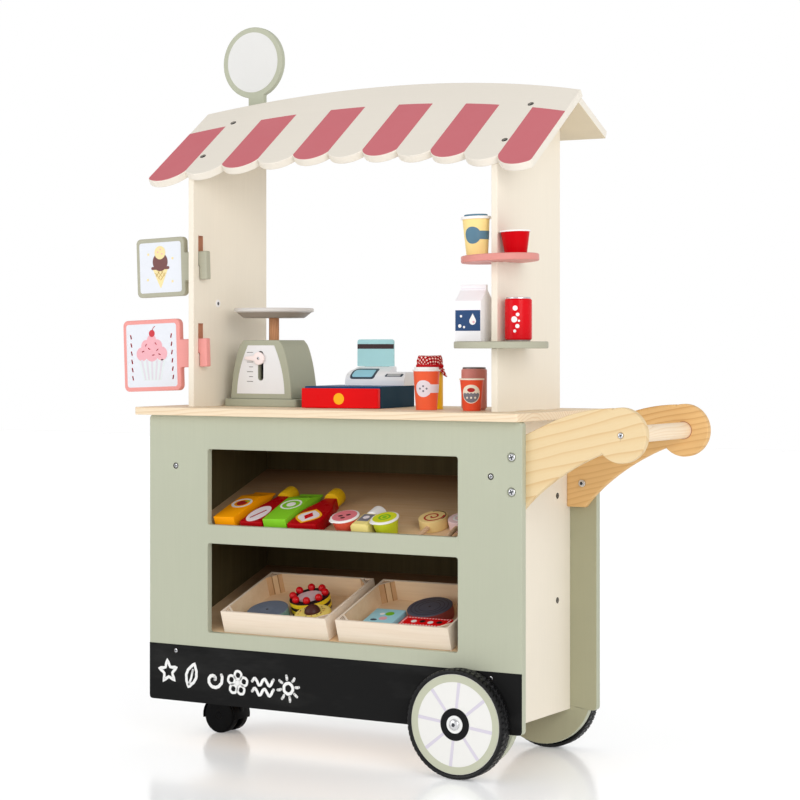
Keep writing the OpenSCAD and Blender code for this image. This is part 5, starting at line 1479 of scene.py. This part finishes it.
for k in range(18):
    a, q = 2.4 * k, 15.5 + 8 * ((k * 7) % 5) / 5
    lt.slab(fill(ellipse(q * math.cos(a), q * math.sin(a), 1.4, 1.0, 14, 50 * k)), on_top(24), -0.1, 0.15, CHOCO if k % 2 else SPIRAL, M)
lt.done("left_crate_box", "goods_mixed", ["left_crate_treats"])

rt = Piece("right_crate_toys")
rt.prism(rrect(362, 35, 413, 82.4, 2), 3.6, 18, PALE_BLUE, LOWER, 0.8, 3)
for cx, cy, a, b, mat in ((393, 67, 7.2, 6.2, LEAF), (390, 51, 6.6, 5.6, PRINT_ROSE), (381, 65, 4.0, 3.4, WHITE), (377, 45, 5.4, 3.0, SLATE)):
    rt.slab(fill(ellipse(cx, cy, a, b, 32)), on_top(18), -0.05, 0.24, mat, LOWER)
M = disc(rt, 448.4, 92, 34.6, 18.4, DISC_DARK, DISC_RED, [(q, 0.6, CAKE_DARK) for q in (16, 22, 28)])
rt.slab(fill(circle(0, 0, 1.8, 18)), on_top(18.4), -0.05, 0.2, CAKE_DARK, M)
rt.prism(rrect(428, 28, 508, 56.3, 2), 3.6, 22, RED, LOWER, 0.8, 3)
for k in range(16):
    for y in (31.2, 53.1):
        rt.slab(fill(circle(431.5 + 4.87 * k, y, 1.25, 10)), on_top(22), -0.03, 0.16, WHITE, LOWER)
for k in range(4):
    for x in (431.5, 504.5):
        rt.slab(fill(circle(x, 35.6 + 4.4 * k, 1.25, 10)), on_top(22), -0.03, 0.16, WHITE, LOWER)
for cx, cy, mat in ((449, 41.5, WHITE), (463, 43, CAKE_DARK), (477, 41, WHITE), (491, 43, CAKE_DARK)):
    rt.slab(fill(ellipse(cx, cy, 4.6, 4.2, 24)), on_top(22), -0.03, 0.18, mat, LOWER)
rt.done("right_crate_box", "goods_mixed", ["right_crate_treats"])

# ---------------------------------------------------------------- stained faces of the crates' corner blocks
for tag, x0, w in (("left", 133.0, 189.2), ("right", 339.0, 191.0)):
    st = Piece(tag + "_crate_stain")
    for i in (0, 1):
        for j in (0, 1):
            def fn(u, v, d, i=i, j=j, x0=x0, w=w):
                cx = 3 + u / math.sqrt(2) + d / math.sqrt(2)
                cy = 23 - u / math.sqrt(2) + d / math.sqrt(2)
                return (x0 + (w - cx if i else cx), 0.6 + (147 - cy if j else cy), 0.4 + v)
            for a, b, mat in ((1.2, 9.6, BLOCK), (9.6, 11.2, BLOCK_DARK), (11.2, 19.0, BLOCK_PALE), (19.0, 20.4, BLOCK_DARK), (20.4, 27.2, BLOCK)):
                st.slab(fill([(a, 3.1), (b, 3.1), (b, 34.2), (a, 34.2)]), fn, -0.05, 0.2, mat, LOWER)
            for k in range(4):
                q = 5.5 + 3.4 * k
                e0, e1 = (x0 + (w - q if i else q), 0.6 + (147 - 4.2 if j else 4.2)), (x0 + (w - 4.2 if i else 4.2), 0.6 + (147 - q if j else q))
                st.slab(band([e0, e1], 1.1, cap=3), on_top(34.4), -0.1, 0.15, BLOCK, LOWER)
    st.done(tag + "_crate_box", "plywood")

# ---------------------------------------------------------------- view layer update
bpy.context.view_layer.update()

# ---------------------------------------------------------------- floor, light, camera
sc = bpy.context.scene
me = bpy.data.meshes.new("floor")
me.from_pydata([(-9, -9, 0), (9, -9, 0), (9, 9, 0), (-9, 9, 0)], [], [(0, 1, 2, 3)])
floor = bpy.data.objects.new("floor", me)
sc.collection.objects.link(floor)
fm = Mat("studio_floor")
fm.set(srgb(249, 250, 251), 0.15, spec=0.3)
fm.bsdf.inputs["Emission Color"].default_value = (1, 1, 1, 1)
fm.bsdf.inputs["Emission Strength"].default_value = 0.2
me.materials.append(fm.mat)

world = bpy.data.worlds.new("studio")
sc.world = world
world.use_nodes = True
bg = world.node_tree.nodes["Background"]
bg.inputs["Strength"].default_value = 1.0
wn, wl = world.node_tree.nodes, world.node_tree.links
tc = wn.new("ShaderNodeTexCoord")
sx = wn.new("ShaderNodeSeparateXYZ")
rp = wn.new("ShaderNodeValToRGB")
wl.new(tc.outputs["Generated"], sx.inputs[0])
wl.new(sx.outputs[2], rp.inputs["Fac"])
wl.new(rp.outputs["Color"], bg.inputs["Color"])
rp.color_ramp.elements[0].position = 0.16
rp.color_ramp.elements[0].color = (1.0, 1.0, 1.0, 1)
rp.color_ramp.elements[1].position = 0.55
rp.color_ramp.elements[1].color = (0.6, 0.6, 0.61, 1)


def area(name, loc, target, size, power, tint=(1, 1, 1)):
    d = bpy.data.lights.new(name, "AREA")
    d.shape = "RECTANGLE"
    d.size, d.size_y = size
    d.energy = power
    d.color = tint
    ob = bpy.data.objects.new(name, d)
    ob.location = loc
    ob.rotation_mode = "QUATERNION"
    ob.rotation_quaternion = (Vector(target) - Vector(loc)).to_track_quat("-Z", "Y")
    sc.collection.objects.link(ob)
    return ob


area("key_light", (2.6, -2.2, 1.5), (0, 0, 0.55), (1.8, 1.8), 41)
area("fill_light", (-2.0, -3.0, 1.3), (0, 0, 0.5), (2.0, 2.0), 21.5)
area("top_light", (0.2, 0.4, 3.0), (0, 0, 0.4), (2.4, 2.4), 4)

cam = bpy.data.cameras.new("camera")
co = bpy.data.objects.new("camera", cam)
co.location = W @ Vector((2036.45, -2685.475, 547.365))
co.rotation_euler = (math.pi / 2, 0, 0.5332)
cam.lens = 96.983
cam.sensor_width = 36
cam.shift_x = 0.0
cam.shift_y = -0.0683
cam.clip_start, cam.clip_end = 0.05, 60
cam.dof.use_dof = False
sc.collection.objects.link(co)
sc.camera = co
sc.view_settings.view_transform = "Standard"
sc.view_settings.look = "None"
